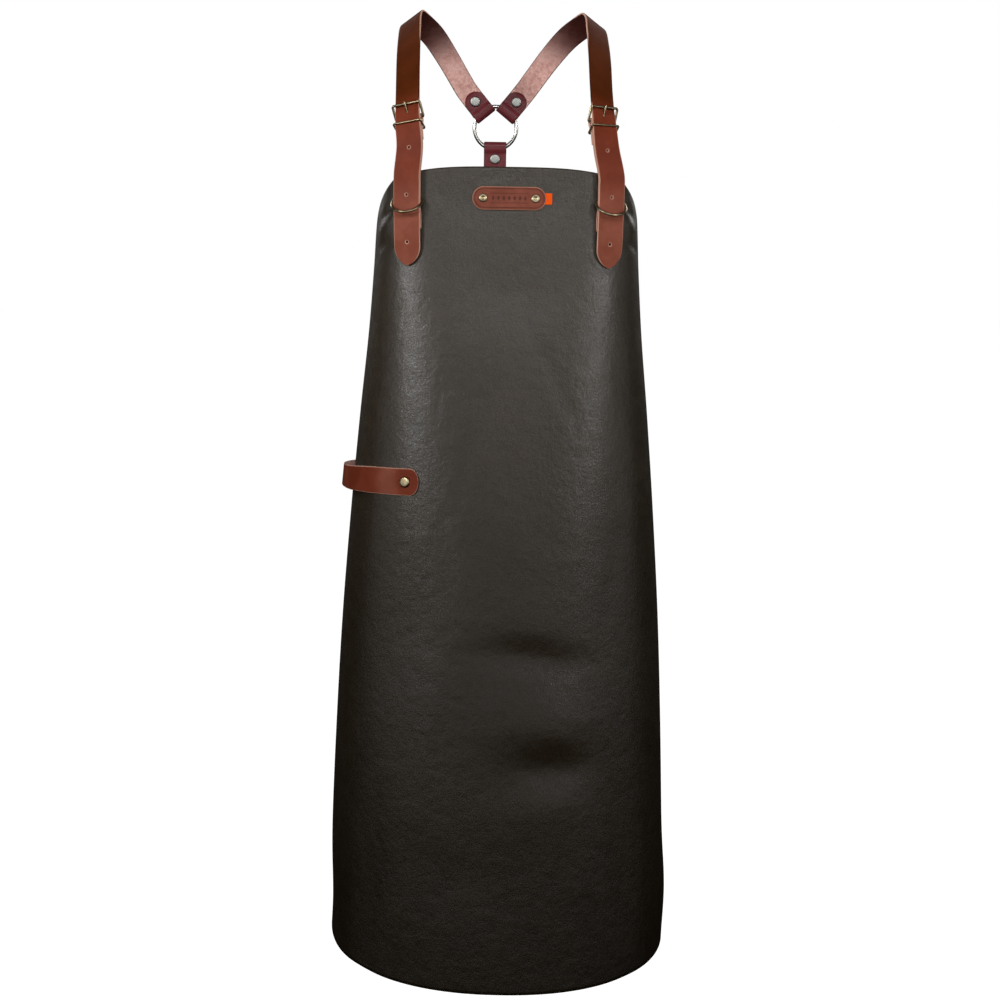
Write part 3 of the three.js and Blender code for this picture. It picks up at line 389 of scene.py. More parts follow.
columns, rows = 168, 250
down = (np.linspace(0, 1, rows) ** 1.08)[:, None]
share = np.linspace(-1, 1, columns)[None, :]
reach = read_table(sheet_form, down[:, 0])[:, 2][:, None] * HEM_HALF_CUT
arcs = share * reach
corner = CORNER_DROP * np.abs(share) ** 3.5 * (1 - down) ** 9
belly = (HEM_BELLY - HEM_RISE * np.abs(share) ** 2.5 + HEM_TILT * share) * down ** 8
heights = -BIB_DROP - corner - belly - down * SHEET_DROP
all_dents = np.concatenate([dents, creases])
face, _, _, out = sheet_frame(arcs, heights, all_dents)
apron_body = leather(
    "apron_leather", "apron_leather", face, face - out * SHEET_THICKNESS,
    np.stack(np.broadcast_arrays(arcs, heights), axis=-1), 0.5 * mm)
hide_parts("apron_body")

# Rivets: pressed brass and nickel caps on a shank, with a flat foot behind. The caps are
# domed on the straps and have a struck dimple on the patch.
LAYER_GAP = 0.3 * mm
SHANK_RADIUS = 1.7 * mm
FOOT_ROOM = 0.85 * mm
DOME = np.array([(6.7, 0), (6.72, 0.5), (6.5, 1.1), (6.05, 1.65), (5.3, 2.05), (4.2, 2.22),
                 (2.4, 2.30), (0.0, 2.34)]) * mm
DIMPLED = np.array([(5.0, 0), (5.05, 0.5), (4.7, 1.1), (3.9, 1.5), (3.0, 1.6), (2.3, 1.4),
                    (1.5, 1.0), (0.7, 0.85), (0.0, 0.8)]) * mm
FLAT = np.array([(5.0, 0), (5.02, 0.5), (4.7, 0.95), (3.6, 1.08), (0.0, 1.1)]) * mm


def rounder(profile, per_span):
    """More points on a profile, on a smooth curve through the ones given."""
    count = (len(profile) - 1) * per_span + 1
    return smooth_curve(profile, np.linspace(0, 1, count))


def smooth_curve(points, at):
    """Centripetal Catmull-Rom curve through points. at runs from 0 to 1, in equal shares
    for each span."""
    points = np.asarray(points, float)
    padded = np.concatenate([[2 * points[0] - points[1]], points, [2 * points[-1] - points[-2]]])
    spans = len(points) - 1
    span = np.minimum((at * spans).astype(int), spans - 1)
    share = (at * spans - span)[:, None]
    p0, p1, p2, p3 = (padded[span + k] for k in range(4))
    d0, d1, d2 = (np.maximum(np.linalg.norm(b - a, axis=1, keepdims=True), 1e-12) ** 0.5
                  for a, b in ((p0, p1), (p1, p2), (p2, p3)))
    leave = ((p1 - p0) / d0 - (p2 - p0) / (d0 + d1) + (p2 - p1) / d1) * d1
    reach_end = ((p2 - p1) / d1 - (p3 - p1) / (d1 + d2) + (p3 - p2) / d2) * d1
    bend = 3 * (p2 - p1) - 2 * leave - reach_end
    twist = 2 * (p1 - p2) + leave + reach_end
    return p1 + share * (leave + share * (bend + share * twist))


def turned(name, slot, profile, point, axis, turns=44):
    """A turned piece: a profile of (radius, height) pairs, from pole to pole, carried
    round an axis."""
    axis = unit(np.asarray(axis, float))
    side = unit(np.cross(axis, (0.0, 0.3, 1.0)))
    other = np.cross(axis, side)
    angle = 2 * np.pi * np.arange(turns) / turns
    rim = np.cos(angle)[:, None] * side + np.sin(angle)[:, None] * other
    rings = profile[1:-1]
    points = point + rings[:, :1, None] * rim + rings[:, 1:, None] * axis
    poles = point + profile[[0, -1], 1:] * axis
    index = np.arange(len(rings) * turns).reshape(len(rings), turns)
    after = np.roll(index, -1, axis=1)
    walls = np.stack([index[:-1], after[:-1], after[1:], index[1:]], axis=-1).reshape(-1, 4)
    low, high = index.size, index.size + 1
    caps = np.concatenate([
        np.stack([after[0], index[0], np.full(turns, low)], axis=-1),
        np.stack([index[-1], after[-1], np.full(turns, high)], axis=-1)])
    points = np.concatenate([points.reshape(-1, 3), poles])
    return add_piece(name, points, [walls, caps], slot, satin=np.ones(len(points)))


def rivet(name, slot, cap, grip, foot_radius, foot_height, point, out):
    """A set rivet: foot, shank and cap in one profile, the middle of its grip on point."""
    base, foot = grip / 2 + LAYER_GAP, -grip / 2 - LAYER_GAP
    crown = rounder(cap, 3) + (0, base)
    profile = np.concatenate([
        [(0, foot - foot_height), (foot_radius * 0.9, foot - foot_height),
         (foot_radius, foot - foot_height * 0.7), (foot_radius, foot), (SHANK_RADIUS, foot),
         (SHANK_RADIUS, base)], crown])
    piece = turned(name, slot, profile, point, out)
    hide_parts(name.removesuffix("_metal"))
    return piece


# Antique brass: yellow metal browned in the hollows and rubbed bright where it is touched.
shader, place = new_finish("antique_brass")
tarnish = place.noise(300.0, 4.0, 0.6)
smut = place.noise(60.0, 3.0, 0.5)
brass = (tarnish * 0.35 + smut * 0.65).between(0.36, 0.66).blend(
    (0.41, 0.345, 0.215, 1), (0.215, 0.168, 0.098, 1))
worn = place.node("Bump", {}, {"Strength": 0.05, "Distance": 0.0001, "Height": tarnish})
feed(shader, colour=brass, metal=1.0, rough=0.22 + 0.16 * smut, normal=worn)

# Nickel on steel with a fine haze of scratches: polished on the ring, satin on the caps.
shader, place = new_finish("nickel")
haze = place.noise(300.0, 4.0, 0.6)
satin = place.mark("satin")
nickel = haze.between(0.35, 0.7).blend((0.60, 0.59, 0.56, 1), (0.44, 0.43, 0.40, 1))
nickel = satin.blend(nickel, (0.33, 0.33, 0.31, 1))
feed(shader, colour=nickel, metal=1.0, rough=0.18 + 0.14 * haze + 0.18 * satin)

# Patch: a rounded bar of strap leather on the bib, bare but for a tooled border and a
# row of small stamped lozenges, held by two dimpled rivets.
PATCH_DROP = 221 * mm
PATCH_LENGTH, PATCH_HEIGHT, PATCH_THICKNESS = 87 * mm, 27 * mm, 2.8 * mm
PATCH_RIVET_SPAN = 62 * mm
shader, place = new_finish("patch_leather")
pores = place.node("TexVoronoi", {}, {"Vector": place, "Scale": 900.0})
cloud = place.noise(38.0, 4.0, 0.6)
tooled = place.mark("tooled")
cut_edge = place.mark("cut_edge").between(0.2, 0.9)
tan = cloud.between(0.35, 0.68).blend((0.165, 0.040, 0.022, 1), (0.215, 0.058, 0.034, 1))
tan = tooled.blend(tan, (0.055, 0.015, 0.009, 1))
tan = (cut_edge + place.mark("brim") * 0.8).between(0.0, 1.0).blend(tan, (0.42, 0.22, 0.15, 1))
relief = place.node("Bump", {}, {
    "Strength": 0.4, "Distance": 0.0004, "Height": pores * 0.3 + cloud * 0.8})
feed(shader, colour=tan, rough=0.40 + 0.2 * cloud, normal=relief, gloss=0.15)

patch_half = PATCH_HEIGHT / 2
run_half = PATCH_LENGTH / 2 - patch_half
sweep = np.radians(np.linspace(3, 90, 14))
ends = run_half + patch_half * np.cos(sweep)
along = np.concatenate([-ends, np.linspace(-run_half, run_half, 90)[1:-1], ends[::-1]])[:, None]
half = np.sqrt(np.maximum(patch_half ** 2 - np.maximum(np.abs(along) - run_half, 0) ** 2, 0))
beside = np.sin(np.linspace(-1, 1, 47) * np.pi / 2)[None, :] * 0.35 \
    + np.linspace(-1, 1, 47)[None, :] * 0.65
beside = beside * half
inset = patch_half - np.hypot(np.maximum(np.abs(along) - run_half, 0), beside)
border = np.exp(-((inset - 2.4 * mm) / (0.42 * mm)) ** 2)
stamp_at = np.abs((along / (6.4 * mm) + 0.5) % 1 - 0.5) * 6.4 * mm
lozenge = 1 - smooth(0.75, 1.0, stamp_at / (2.3 * mm) + np.abs(beside) / (3.3 * mm))
lozenge = np.where(np.abs(along) < 20.5 * mm, lozenge, 0)
rails = np.exp(-((np.abs(beside) - 5.4 * mm) / (0.34 * mm)) ** 2)
rails = np.where(np.abs(along) < 22 * mm, rails, 0)
tooling = np.clip(border + 0.8 * lozenge + 0.8 * rails, 0, 1)
puff = PATCH_THICKNESS - 0.55 * mm * (1 - smooth(0, 1.6 * mm, inset)) - 0.35 * mm * tooling
point, _, rise, out = sheet_frame(along, np.full_like(along, -PATCH_DROP))
grain = point + rise * beside[..., None] + out * (SHEET_LIFT + puff)[..., None]
flesh = point + rise * beside[..., None] + out * SHEET_LIFT
patch = leather("patch_leather", "patch_leather", grain, flesh,
                np.stack(np.broadcast_arrays(along, beside), axis=-1), 0.25 * mm,
                tooled=tooling, brim=1 - smooth(0.3 * mm, 1.0 * mm, inset))
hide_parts("patch")

grip = SHEET_THICKNESS + SHEET_LIFT + PATCH_THICKNESS + FOOT_ROOM
for name, side in (("left", -1), ("right", 1)):
    point, _, _, out = sheet_frame(side * PATCH_RIVET_SPAN / 2, -PATCH_DROP)
    rivet(f"patch_rivet_{name}_metal", "antique_brass", DIMPLED, grip, 4 * mm, 0.9 * mm,
          point + out * (SHEET_LIFT + PATCH_THICKNESS - grip / 2), out)

# Tag: a folded strip of woven orange ribbon caught under the patch's right end.
TAG_LENGTH, TAG_WIDTH, TAG_THICKNESS, TAG_TUCK = 7 * mm, 13 * mm, 1 * mm, 4 * mm
shader, place = new_finish("tag_cloth")
warp = place.node("TexWave", {"bands_direction": "X"}, {"Vector": place, "Scale": 420.0})
weft = place.node("TexWave", {"bands_direction": "Z"}, {"Vector": place, "Scale": 420.0})
weave = warp * weft
orange = weave.between(0.0, 0.5).blend((0.80, 0.075, 0.004, 1), (0.98, 0.125, 0.008, 1))
feed(shader, colour=orange, rough=0.85, gloss=0.1,
     normal=place.node("Bump", {}, {"Strength": 0.5, "Distance": 0.0002, "Height": weave}))
along = np.linspace(PATCH_LENGTH / 2 - TAG_TUCK, PATCH_LENGTH / 2 + TAG_LENGTH, 15)[:, None]
beside = np.linspace(-TAG_WIDTH / 2, TAG_WIDTH / 2, 17)[None, :]
point, _, rise, out = sheet_frame(along, np.full_like(along, -PATCH_DROP))
curl = smooth(PATCH_LENGTH / 2, PATCH_LENGTH / 2 + TAG_LENGTH, along) * 0.5 * mm
rounding = 0.2 * mm * (np.abs(beside) / (TAG_WIDTH / 2)) ** 8
grain = point + rise * beside[..., None] \
    + out * (SHEET_LIFT + TAG_THICKNESS + curl - rounding)[..., None]
flesh = point + rise * beside[..., None] + out * (SHEET_LIFT + curl + rounding)[..., None]
tag = leather("side_tag_cloth", "tag_cloth", grain, flesh,
              np.stack(np.broadcast_arrays(along, beside), axis=-1), 0.2 * mm)
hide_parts("side_tag")

# Shoulder straps: waxed strap leather, 32 mm wide, with rounded raw edges. Each runs from
# its tongue on the bib through D-ring, keeper and buckle, over the shoulder and down to
# the ring, where its end is folded forward round the wire.
STRAP_WIDTH, STRAP_END_WIDTH, STRAP_THICKNESS = 32 * mm, 28 * mm, 2.6 * mm
BASE_THICKNESS = 2.4 * mm
STRAP_ON_BIB, CREST_HALF_SPAN, STRAP_TIP_DROP = 119 * mm, 110 * mm, 301 * mm
HOLE_RADIUS, HOLE_PITCH, FIRST_HOLE_DROP = 1.7 * mm, 55 * mm, 51 * mm
D_RING_DROP, D_RING_WIRE, BIB_RIVET_DROP = 224 * mm, 1.6 * mm, 249 * mm
BUCKLE_DROP, BUCKLE_WIRE, BUCKLE_LENGTH = 114.5 * mm, 1.5 * mm, 18 * mm
RING_DROP, RING_BACK, RING_SWAY = 122.7 * mm, 113 * mm, 13 * mm
RING_RADIUS, RING_WIRE, RING_LEAN = 27.3 * mm, 2.5 * mm, np.radians(39)
RING_TAB_END, RING_RIVET_DISTANCE = 55 * mm, 42.3 * mm
up, backward = np.array((0.0, 0.0, 1.0)), np.array((0.0, 1.0, 0.0))

# drop, span, front, back, sway, turn, bank: the free run from above the bib to the ring.
strap_run = np.array([
    (0.880, 1.057, 0.985, 0.000, 0.15, 20, 2),
    (0.735, 1.052, 0.945, 0.000, 0.35, 24, 6),
    (0.620, 1.046, 0.880, 0.000, 0.46, 27, 11),
    (0.484, 1.042, 0.755, 0.000, 0.52, 27, 14),
    (0.290, 1.042, 0.520, 0.000, 0.55, 24, 18),
    (0.130, 1.036, 0.280, 0.000, 0.58, 21, 25),
    (0.033, 1.025, 0.085, 0.000, 0.60, 19, 31),
    (0.000, 0.992, 0.000, 0.095, 0.63, 17, 35),
    (0.026, 0.900, 0.000, 0.290, 0.67, 11, 36),
    (0.085, 0.765, 0.000, 0.470, 0.74, 4, 36),
    (0.200, 0.600, 0.000, 0.690, 0.86, 0, 36),
])


def base_lift(drop):
    """Height of the short strap's back above the sheet: raised over the D-ring's bar."""
    raised = 1 - smooth(D_RING_DROP + 3 * mm, D_RING_DROP + 21 * mm, drop)
    return SHEET_LIFT + (2 * D_RING_WIRE + SHEET_LIFT) * raised


def strap_lift(drop):
    """Height of the long strap's back above the sheet, over the short strap's end."""
    raised = base_lift(D_RING_DROP) + BASE_THICKNESS + LAYER_GAP
    over_rivet = SHEET_LIFT + BASE_THICKNESS + 1.1 * mm + 3 * LAYER_GAP
    below_rivet = smooth(BIB_RIVET_DROP + 3 * mm, STRAP_TIP_DROP, drop)
    below_ring = smooth(D_RING_DROP + 4 * mm, BIB_RIVET_DROP, drop)
    held = raised + (over_rivet - raised) * below_ring
    return held + (SHEET_LIFT + 0.7 * mm - held) * below_rivet


def ring_end(centre, along, across, half, thickness, start, tab_end, bend):
    """Path of an end folded on the ring: down behind it, half a turn round its wire and
    back up before it, closing on the layer behind."""
    chord = np.sqrt(RING_RADIUS ** 2 - half ** 2)
    gap = RING_WIRE + 0.35 * mm
    turn_at = chord - RING_WIRE * RING_RADIUS / chord - LAYER_GAP + gap
    wide, close = gap + thickness / 2, (thickness + LAYER_GAP) / 2

    def layer(at, side):
        offset = wide + (close - wide) * smooth(turn_at + 5 * mm, turn_at + 10.5 * mm, at)
        shift = side * offset - bend(at)
        return centre + at[:, None] * along + shift[:, None] * backward

    angle = np.radians(np.linspace(0, 180, 22))[1:-1, None]
    turn = centre + turn_at * along \
        + wide * (np.cos(angle) * backward - np.sin(angle) * along)
    down_steps = np.arange(turn_at, start, 1.0 * mm)
    up_steps = np.append(np.arange(turn_at, tab_end, 1.0 * mm), tab_end)
    points = np.concatenate([layer(down_steps[::-1], 1), turn, layer(up_steps, -1)])
    return points, np.broadcast_to(across, points.shape)


def strap_route(sway):
    """Middle line of the left shoulder strap up to the fold, for a ring that hangs at sway: points, across
    vectors and their distances from the tip, then the folded end on the ring with its across vectors, and the
    place of the ring's rivet."""
    drops = np.array([301, 284.9, 268.2, 249, 236, 224, 208.2, 195.2]) * mm
    point, across, _, out = sheet_frame(np.full_like(drops, -STRAP_ON_BIB), -drops)
    on_bib = point + out * (strap_lift(drops) + STRAP_THICKNESS / 2)[:, None]
    drop, span, front, back, swayed, turn, bank = strap_run.T
    turn, bank = np.radians(turn), np.radians(bank)
    free = np.stack([-span * CREST_HALF_SPAN + swayed * sway,
                     back * RING_BACK + front * on_bib[-1, 1], -drop * BIB_DROP], axis=-1)
    free_across = np.stack([np.cos(bank) * np.cos(turn), -np.cos(bank) * np.sin(turn),
                            np.sin(bank)], axis=-1)
    centre = np.array((sway, RING_BACK, -RING_DROP))
    lean_along = np.array((-np.sin(RING_LEAN), 0, np.cos(RING_LEAN)))
    lean_across = np.array((np.cos(RING_LEAN), 0, np.sin(RING_LEAN)))
    offset = (STRAP_THICKNESS + LAYER_GAP) / 2
    last = np.array([62, 56]) * mm
    bend = forward_bend(last)
    at_ring = centre + last[:, None] * lean_along + (offset - bend)[:, None] * backward
    t = np.linspace(0, 1, 6001)
    line = smooth_curve(np.concatenate([on_bib, free, at_ring]), t)
    guide = smooth_curve(np.concatenate([across, free_across, [lean_across] * 2]), t)
    distance = np.append(0, np.cumsum(np.linalg.norm(np.diff(line, axis=0), axis=1)))
    end, end_across = ring_end(centre, lean_along, lean_across, STRAP_END_WIDTH / 2,
                               STRAP_THICKNESS, 56 * mm, RING_TAB_END, forward_bend)
    rivet_at = centre + RING_RIVET_DISTANCE * lean_along \
        - forward_bend(RING_RIVET_DISTANCE) * backward
    return line, guide, distance, end, end_across, rivet_at


def forward_bend(at):
    """How far the strap leaves the ring's plane, growing with the square of distance."""
    return 30 * np.maximum(at - 49 * mm, 0) ** 2


def framed(line, guide):
    """Tangents, across and out vectors along a line, with across squared to it."""
    tangent = unit(np.gradient(line, axis=0))
    across = unit(guide - (guide * tangent).sum(axis=-1, keepdims=True) * tangent)
    return tangent, across, np.cross(across, tangent)


def at_distance(distance, values, at):
    """Values of a line at distances along it, between its points."""
    at = np.asarray(at, float)
    return np.stack([np.interp(at, distance, column) for column in values.T], axis=-1)


def rounded_half(half, distance, nose=1.0):
    """Half width of a strap at a distance from its rounded end: a circle's chord, and
    with a longer nose, more pointed."""
    reach = half * nose
    share = 1 - np.clip(np.maximum(distance, 0.004 * reach) / reach, 0, 1)
    return half * (1 - share ** 2) ** (0.5 + 0.35 * max(nose - 1, 0))


def strap(name, slot, line, guide, half_at, thickness, holes=(), step=1.6 * mm,
          ends=(False, False), mirror=1, nose=1.0, end_nose=1.0, tone=None):
    """A strap: a flat section with softened edges carried along a line. half_at gives its
    half width at distances, ends says which ends are rounded, and the grid is drawn into
    a circle round each punched hole at (distance, radius) before its cells go."""
    distance = np.append(0, np.cumsum(np.linalg.norm(np.diff(line, axis=0), axis=1)))
    length = distance[-1]
    cosine = 1 - np.cos(np.radians(np.linspace(0, 90, 12)))
    at = [np.linspace(0, length, int(length / step) + 1)]
    if ends[0]:
        at.append(cosine * half_at(0.0) * nose)
    if ends[1]:
        at.append(length - cosine * half_at(length) * end_nose)
    pitch = 2 / 3 * mm
    for place_at, _ in holes:
        at[0] = at[0][np.abs(at[0] - place_at) > 4.6 * mm]
        at.append(place_at + pitch * np.arange(-6, 7))
    at = np.unique(np.round(np.concatenate(at), 7))
    at = at[np.append(True, np.diff(at) > 0.05 * mm)]
    half = half_at(at)
    if ends[0]:
        half = half * rounded_half(1.0, at / half_at(0.0), nose)
    if ends[1]:
        half = half * rounded_half(1.0, (length - at) / half_at(length), end_nose)
    widest = half_at(length / 2)
    inner = pitch * np.arange(-6, 7)
    outer = np.linspace(4 * mm, widest - 0.9 * mm, 6)[1:]
    brink = widest - np.array([0.55, 0.25, 0.0]) * mm
    offset = np.concatenate([-brink[::-1], -outer[::-1], inner, outer, brink])
    share = offset / widest
    s = np.broadcast_to(at[:, None], (len(at), len(share))).copy()
    a = share[None, :] * half[:, None]
    keep = np.ones((len(at) - 1, len(share) - 1), bool)
    for place_at, radius in holes:
        x, y = s - place_at, a
        m, r = np.maximum(np.abs(x), np.abs(y)), np.hypot(x, y)
        block = 2 * pitch
        near = (m < 4 * mm) & (m > 0.9 * block)
        w = np.clip((m - block) / (4 * mm - block), 0, 1)
        pull = np.where(r > 0, (radius + m - block) / np.maximum(r, 1e-9), 1)
        s = np.where(near, place_at + x * (pull * (1 - w) + w), s)
        a = np.where(near, y * (pull * (1 - w) + w), a)
        middle = (x[:-1, :-1] + x[1:, 1:]) / 2, (y[:-1, :-1] + y[1:, 1:]) / 2
        keep &= np.maximum(np.abs(middle[0]), np.abs(middle[1])) > block
    tangent, across, out = framed(line, guide)
    point = at_distance(distance, line, s.ravel()).reshape(*s.shape, 3)
    across = unit(at_distance(distance, across, s.ravel()).reshape(*s.shape, 3))
    out = unit(at_distance(distance, out, s.ravel()).reshape(*s.shape, 3))
    brim = np.clip((np.abs(share) * widest - (widest - 0.9 * mm)) / (0.9 * mm), 0, 1) ** 2
    rim = sum(np.exp(-((np.hypot(s - place_at, a) - radius) / (1.1 * mm)) ** 2)
              for place_at, radius in holes) + 0 * s
    depth = thickness / 2 - 0.42 * mm * brim[None, :]
    grain = point + across * a[..., None] + out * depth[..., None]
    flesh = point + across * a[..., None] - out * depth[..., None]
    flip = np.array((mirror, 1, 1))
    marks = {"along": s}
    marks["brim"] = np.maximum(smooth(0.90, 1.0, np.abs(share))[None, :], rim)
    if tone is not None:
        marks["tone"] = tone(s)
    return leather(name, slot, grain * flip, flesh * flip, np.stack([s, a], axis=-1),
                   0.3 * mm, keep, **marks)


# Strap leather: red-brown and waxed on the grain side, pinkish and matt on the flesh side, paler along the raw
# edges. A tone mark paints light and shade on it: browner from the buckle over the shoulder and dark on the
# flesh side past the crest, painted shade; paler at the tongues and on the waist strap's bow, a painted
# highlight. It also makes the folds on the ring burgundy.
shader, place = new_finish("strap_leather")
pores = place.node("TexVoronoi", {}, {"Vector": place, "Scale": 1100.0})
cloud = place.noise(34.0, 4.0, 0.6)
fine = place.noise(240.0, 4.0, 0.6)
flesh = place.mark("flesh").between(0.55, 0.9)
cut_edge = place.mark("cut_edge")
brim = place.mark("brim")
tone = place.mark("tone")
red = cloud.between(0.34, 0.68).blend((0.150, 0.027, 0.011, 1), (0.190, 0.038, 0.018, 1))
brown = cloud.between(0.34, 0.68).blend((0.072, 0.0145, 0.0022, 1), (0.092, 0.019, 0.0035, 1))
# Tone below 0 blends the grain side to a paler tan: a painted highlight.
grain_side = (0 - tone).between(0.0, 1.0).blend(red, cloud.between(0.34, 0.68).blend(
    (0.225, 0.066, 0.040, 1), (0.285, 0.090, 0.057, 1)))
# Tone from 0 to 1 browns the grain side: painted shade.
grain_side = tone.between(0.0, 1.0).blend(grain_side, brown)
grain_side = tone.between(1.5, 2.0).blend(grain_side, cloud.between(0.34, 0.68).blend(
    (0.125, 0.019, 0.023, 1), (0.165, 0.030, 0.036, 1)))
strands = place.noise(120.0, 5.0, 0.7)
suede = (0.3 * cloud + 0.3 * fine + 0.4 * strands).between(0.36, 0.62).blend(
    (0.64, 0.325, 0.275, 1), (0.92, 0.570, 0.505, 1))
# Painted shade on the flesh side: darkest where tone is near 1, just past the crest, fading to bare suede
# towards the ring, broken by the strands.
flesh_painted_shade = (tone * (2 - tone) + (strands - 0.5) * 0.35).between(0.1, 0.95)
flesh_side = flesh_painted_shade.blend(suede, (0.070, 0.019, 0.015, 1))
hide = flesh.blend(grain_side, flesh_side)
raw = tone.between(0.985, 1.01) * (1.25 - tone).between(0.0, 0.12) + (0.6 - tone).between(0.0, 0.3)
edge_colour = raw.between(0.0, 1.0).blend((0.048, 0.012, 0.009, 1), (0.60, 0.34, 0.25, 1))
hide = (brim * 0.9 + cut_edge.between(0.2, 0.9) * 0.75).between(0.25, 1.1).blend(
    hide, edge_colour)
relief = place.node("Bump", {}, {
    "Strength": 0.35, "Distance": 0.0004,
    "Height": pores * 0.25 + cloud * 0.7 + fine * 0.25 + strands * flesh * 0.8})
feed(shader, colour=hide, rough=0.34 + 0.16 * cloud + 0.40 * flesh, normal=relief, gloss=0.04,
     coat=tone.between(1.4, 1.9) * (1 - flesh) * 0.35, coat_rough=0.32)


def strap_tone(edges):
    """Tone along a strap from (distance, tone) pairs: below 0 paler, a painted highlight; 0 red; 1 browner,
    painted shade, which also darkens the flesh side; 2 burgundy.
    """
    places, values = zip(*edges)
    return lambda at: np.interp(at, places, values)


def distance_at_drop(line, distance, drop):
    """Distance at which the front of a strap first rises to a drop."""
    front = slice(0, int(np.argmax(line[:, 2])))
    return np.interp(-drop, line[front, 2], distance[front])


sides = {}
for name, mirror, sway in (("left", 1, -RING_SWAY), ("right", -1, RING_SWAY)):
    line, guide, distance, end, end_across, rivet_at = strap_route(sway)
    length = distance[-1]
    bar = distance_at_drop(line, distance, BUCKLE_DROP)
    total_line = np.concatenate([line[::12], end[1:]])
    total_guide = np.concatenate([guide[::12], end_across[1:]])

    def half_at(at, length=length):
        """Half the full width, narrowing towards the ring."""
        slim = smooth(length * 0.6, length * 0.95, np.asarray(at, float))
        return (STRAP_WIDTH + (STRAP_END_WIDTH - STRAP_WIDTH) * slim) / 2

    holes = [(bar - FIRST_HOLE_DROP - k * HOLE_PITCH, HOLE_RADIUS) for k in range(3)]
    crest = distance[int(np.argmax(line[:, 2]))]
    # Tone: below 0 at the tongue, a painted highlight; rising to 1 from the buckle to the crest, painted
    # shade, which past the crest darkens the flesh side; 2, burgundy, at the fold on the ring.
    tone = strap_tone([(0, -0.6), (70 * mm, -0.7), (115 * mm, 0.0), (bar - 8 * mm, 0.10), (bar + 8 * mm, 0.60),
                       (bar + 22 * mm, 0.95), (crest, 1.04), (crest + 12 * mm, 1.15),
                       (crest + 45 * mm, 1.42), (crest + 85 * mm, 1.78),
                       (crest + 118 * mm, 2.0)])
    piece = strap(f"shoulder_strap_{name}_leather", "strap_leather", total_line, total_guide,
                  half_at, STRAP_THICKNESS, holes, ends=(True, True), mirror=mirror,
                  nose=1.4, tone=tone)
    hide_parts(f"shoulder_strap_{name}")
    tangent, across, out = framed(line, guide)
    sides[name] = dict(
        mirror=np.array((mirror, 1, 1)), line=line, across=across, out=out, tangent=tangent,
        distance=distance, bar=bar, rivet_at=rivet_at, flip=mirror)

# Short straps: riveted on the bib, they carry the D-ring under them and the buckle in the
# fold at their top, whose end is turned back behind the hinge bar.
BASE_END_DROP, FOLD_RETURN = 258 * mm, 27 * mm
for name, side in sides.items():
    line, distance = side["line"], side["distance"]

    def strap_frame(at, side=side):
        """Point, across, tangent and out of the long strap at distances."""
        return [at_distance(side["distance"], side[key], at)
                for key in ("line", "across", "tangent", "out")]

    hinge_offset = STRAP_THICKNESS / 2 + LAYER_GAP + BASE_THICKNESS + 0.35 * mm + BUCKLE_WIRE
    bar_offset = STRAP_THICKNESS / 2 + 3 * LAYER_GAP + BUCKLE_WIRE
    hinge = side["bar"] - np.sqrt(BUCKLE_LENGTH ** 2 - (hinge_offset + bar_offset) ** 2)
    point, across, tangent, out = strap_frame(hinge)
    hinge_centre = point - out * hinge_offset
    bar_point, _, _, bar_out = strap_frame(side["bar"])
    bar_centre = bar_point + bar_out * bar_offset
    frame_up = unit(bar_centre - hinge_centre)
    frame_out = unit(np.cross(across, frame_up))
    side.update(hinge=hinge, hinge_centre=hinge_centre, hinge_across=across,
                frame_up=frame_up, frame_out=frame_out, strap_frame=strap_frame)

    behind = (STRAP_THICKNESS + BASE_THICKNESS) / 2 + LAYER_GAP
    rises = np.arange(0, 33.1, 1.5) * mm
    drops = BASE_END_DROP - rises
    seat, seat_across, _, seat_out = sheet_frame(np.full_like(drops, -STRAP_ON_BIB), -drops)
    lower = seat + seat_out * (base_lift(drops) + BASE_THICKNESS / 2)[:, None]
    start = distance_at_drop(line, distance, D_RING_DROP - 4 * mm)
    point_up, across_up, _, out_up = strap_frame(np.linspace(start, hinge, 60))
    upper = point_up - out_up * behind
    turn_radius = hinge_offset - behind
    angle = np.radians(np.linspace(0, 180, 16))[1:-1, None]
    turn = hinge_centre + turn_radius * (np.cos(angle) * out + np.sin(angle) * tangent)
    back = np.linspace(0, FOLD_RETURN, 20)
    point_back, across_back, _, out_back = strap_frame(hinge - back)
    layer = behind + 2 * turn_radius + (BASE_THICKNESS + LAYER_GAP - 2 * turn_radius) \
        * smooth(3.5 * mm, 12 * mm, back)
    returned = point_back - out_back * layer[:, None]
    path = np.concatenate([lower, upper, turn, returned])
    guides = np.concatenate([seat_across, across_up, np.repeat(across[None], 14, 0), across_back])
    piece = strap(f"buckle_strap_{name}_leather", "strap_leather", path, guides,
                  lambda at: np.full_like(np.asarray(at, float), STRAP_WIDTH / 2),
                  BASE_THICKNESS, mirror=side["flip"], tone=lambda at: at * 0)
    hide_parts(f"buckle_strap_{name}")

    grip = SHEET_THICKNESS + SHEET_LIFT + BASE_THICKNESS + FOOT_ROOM
    point, _, _, out = sheet_frame(-STRAP_ON_BIB, -BIB_RIVET_DROP)
    rivet(f"bib_rivet_{name}_metal", "antique_brass", FLAT, grip, 5 * mm, 1 * mm,
          (point + out * (SHEET_LIFT + BASE_THICKNESS - grip / 2)) * side["mirror"],
          out * side["mirror"])

# Buckles, keepers and D-rings: drawn brass wire, bent in one plane and browned. The
# buckle's frame turns on its hinge bar in the fold, and the prong is coiled on that bar.
WIRE_SIDE_GAP = 0.5 * mm
PRONG_WIRE, KEEPER_WIRE = 1.1 * mm, 1.25 * mm
KEEPER_DISTANCE, KEEPER_SLANT = 21.5 * mm, 7.6 * mm
D_RING_LENGTH, D_RING_TILT = 24.6 * mm, np.radians(49)


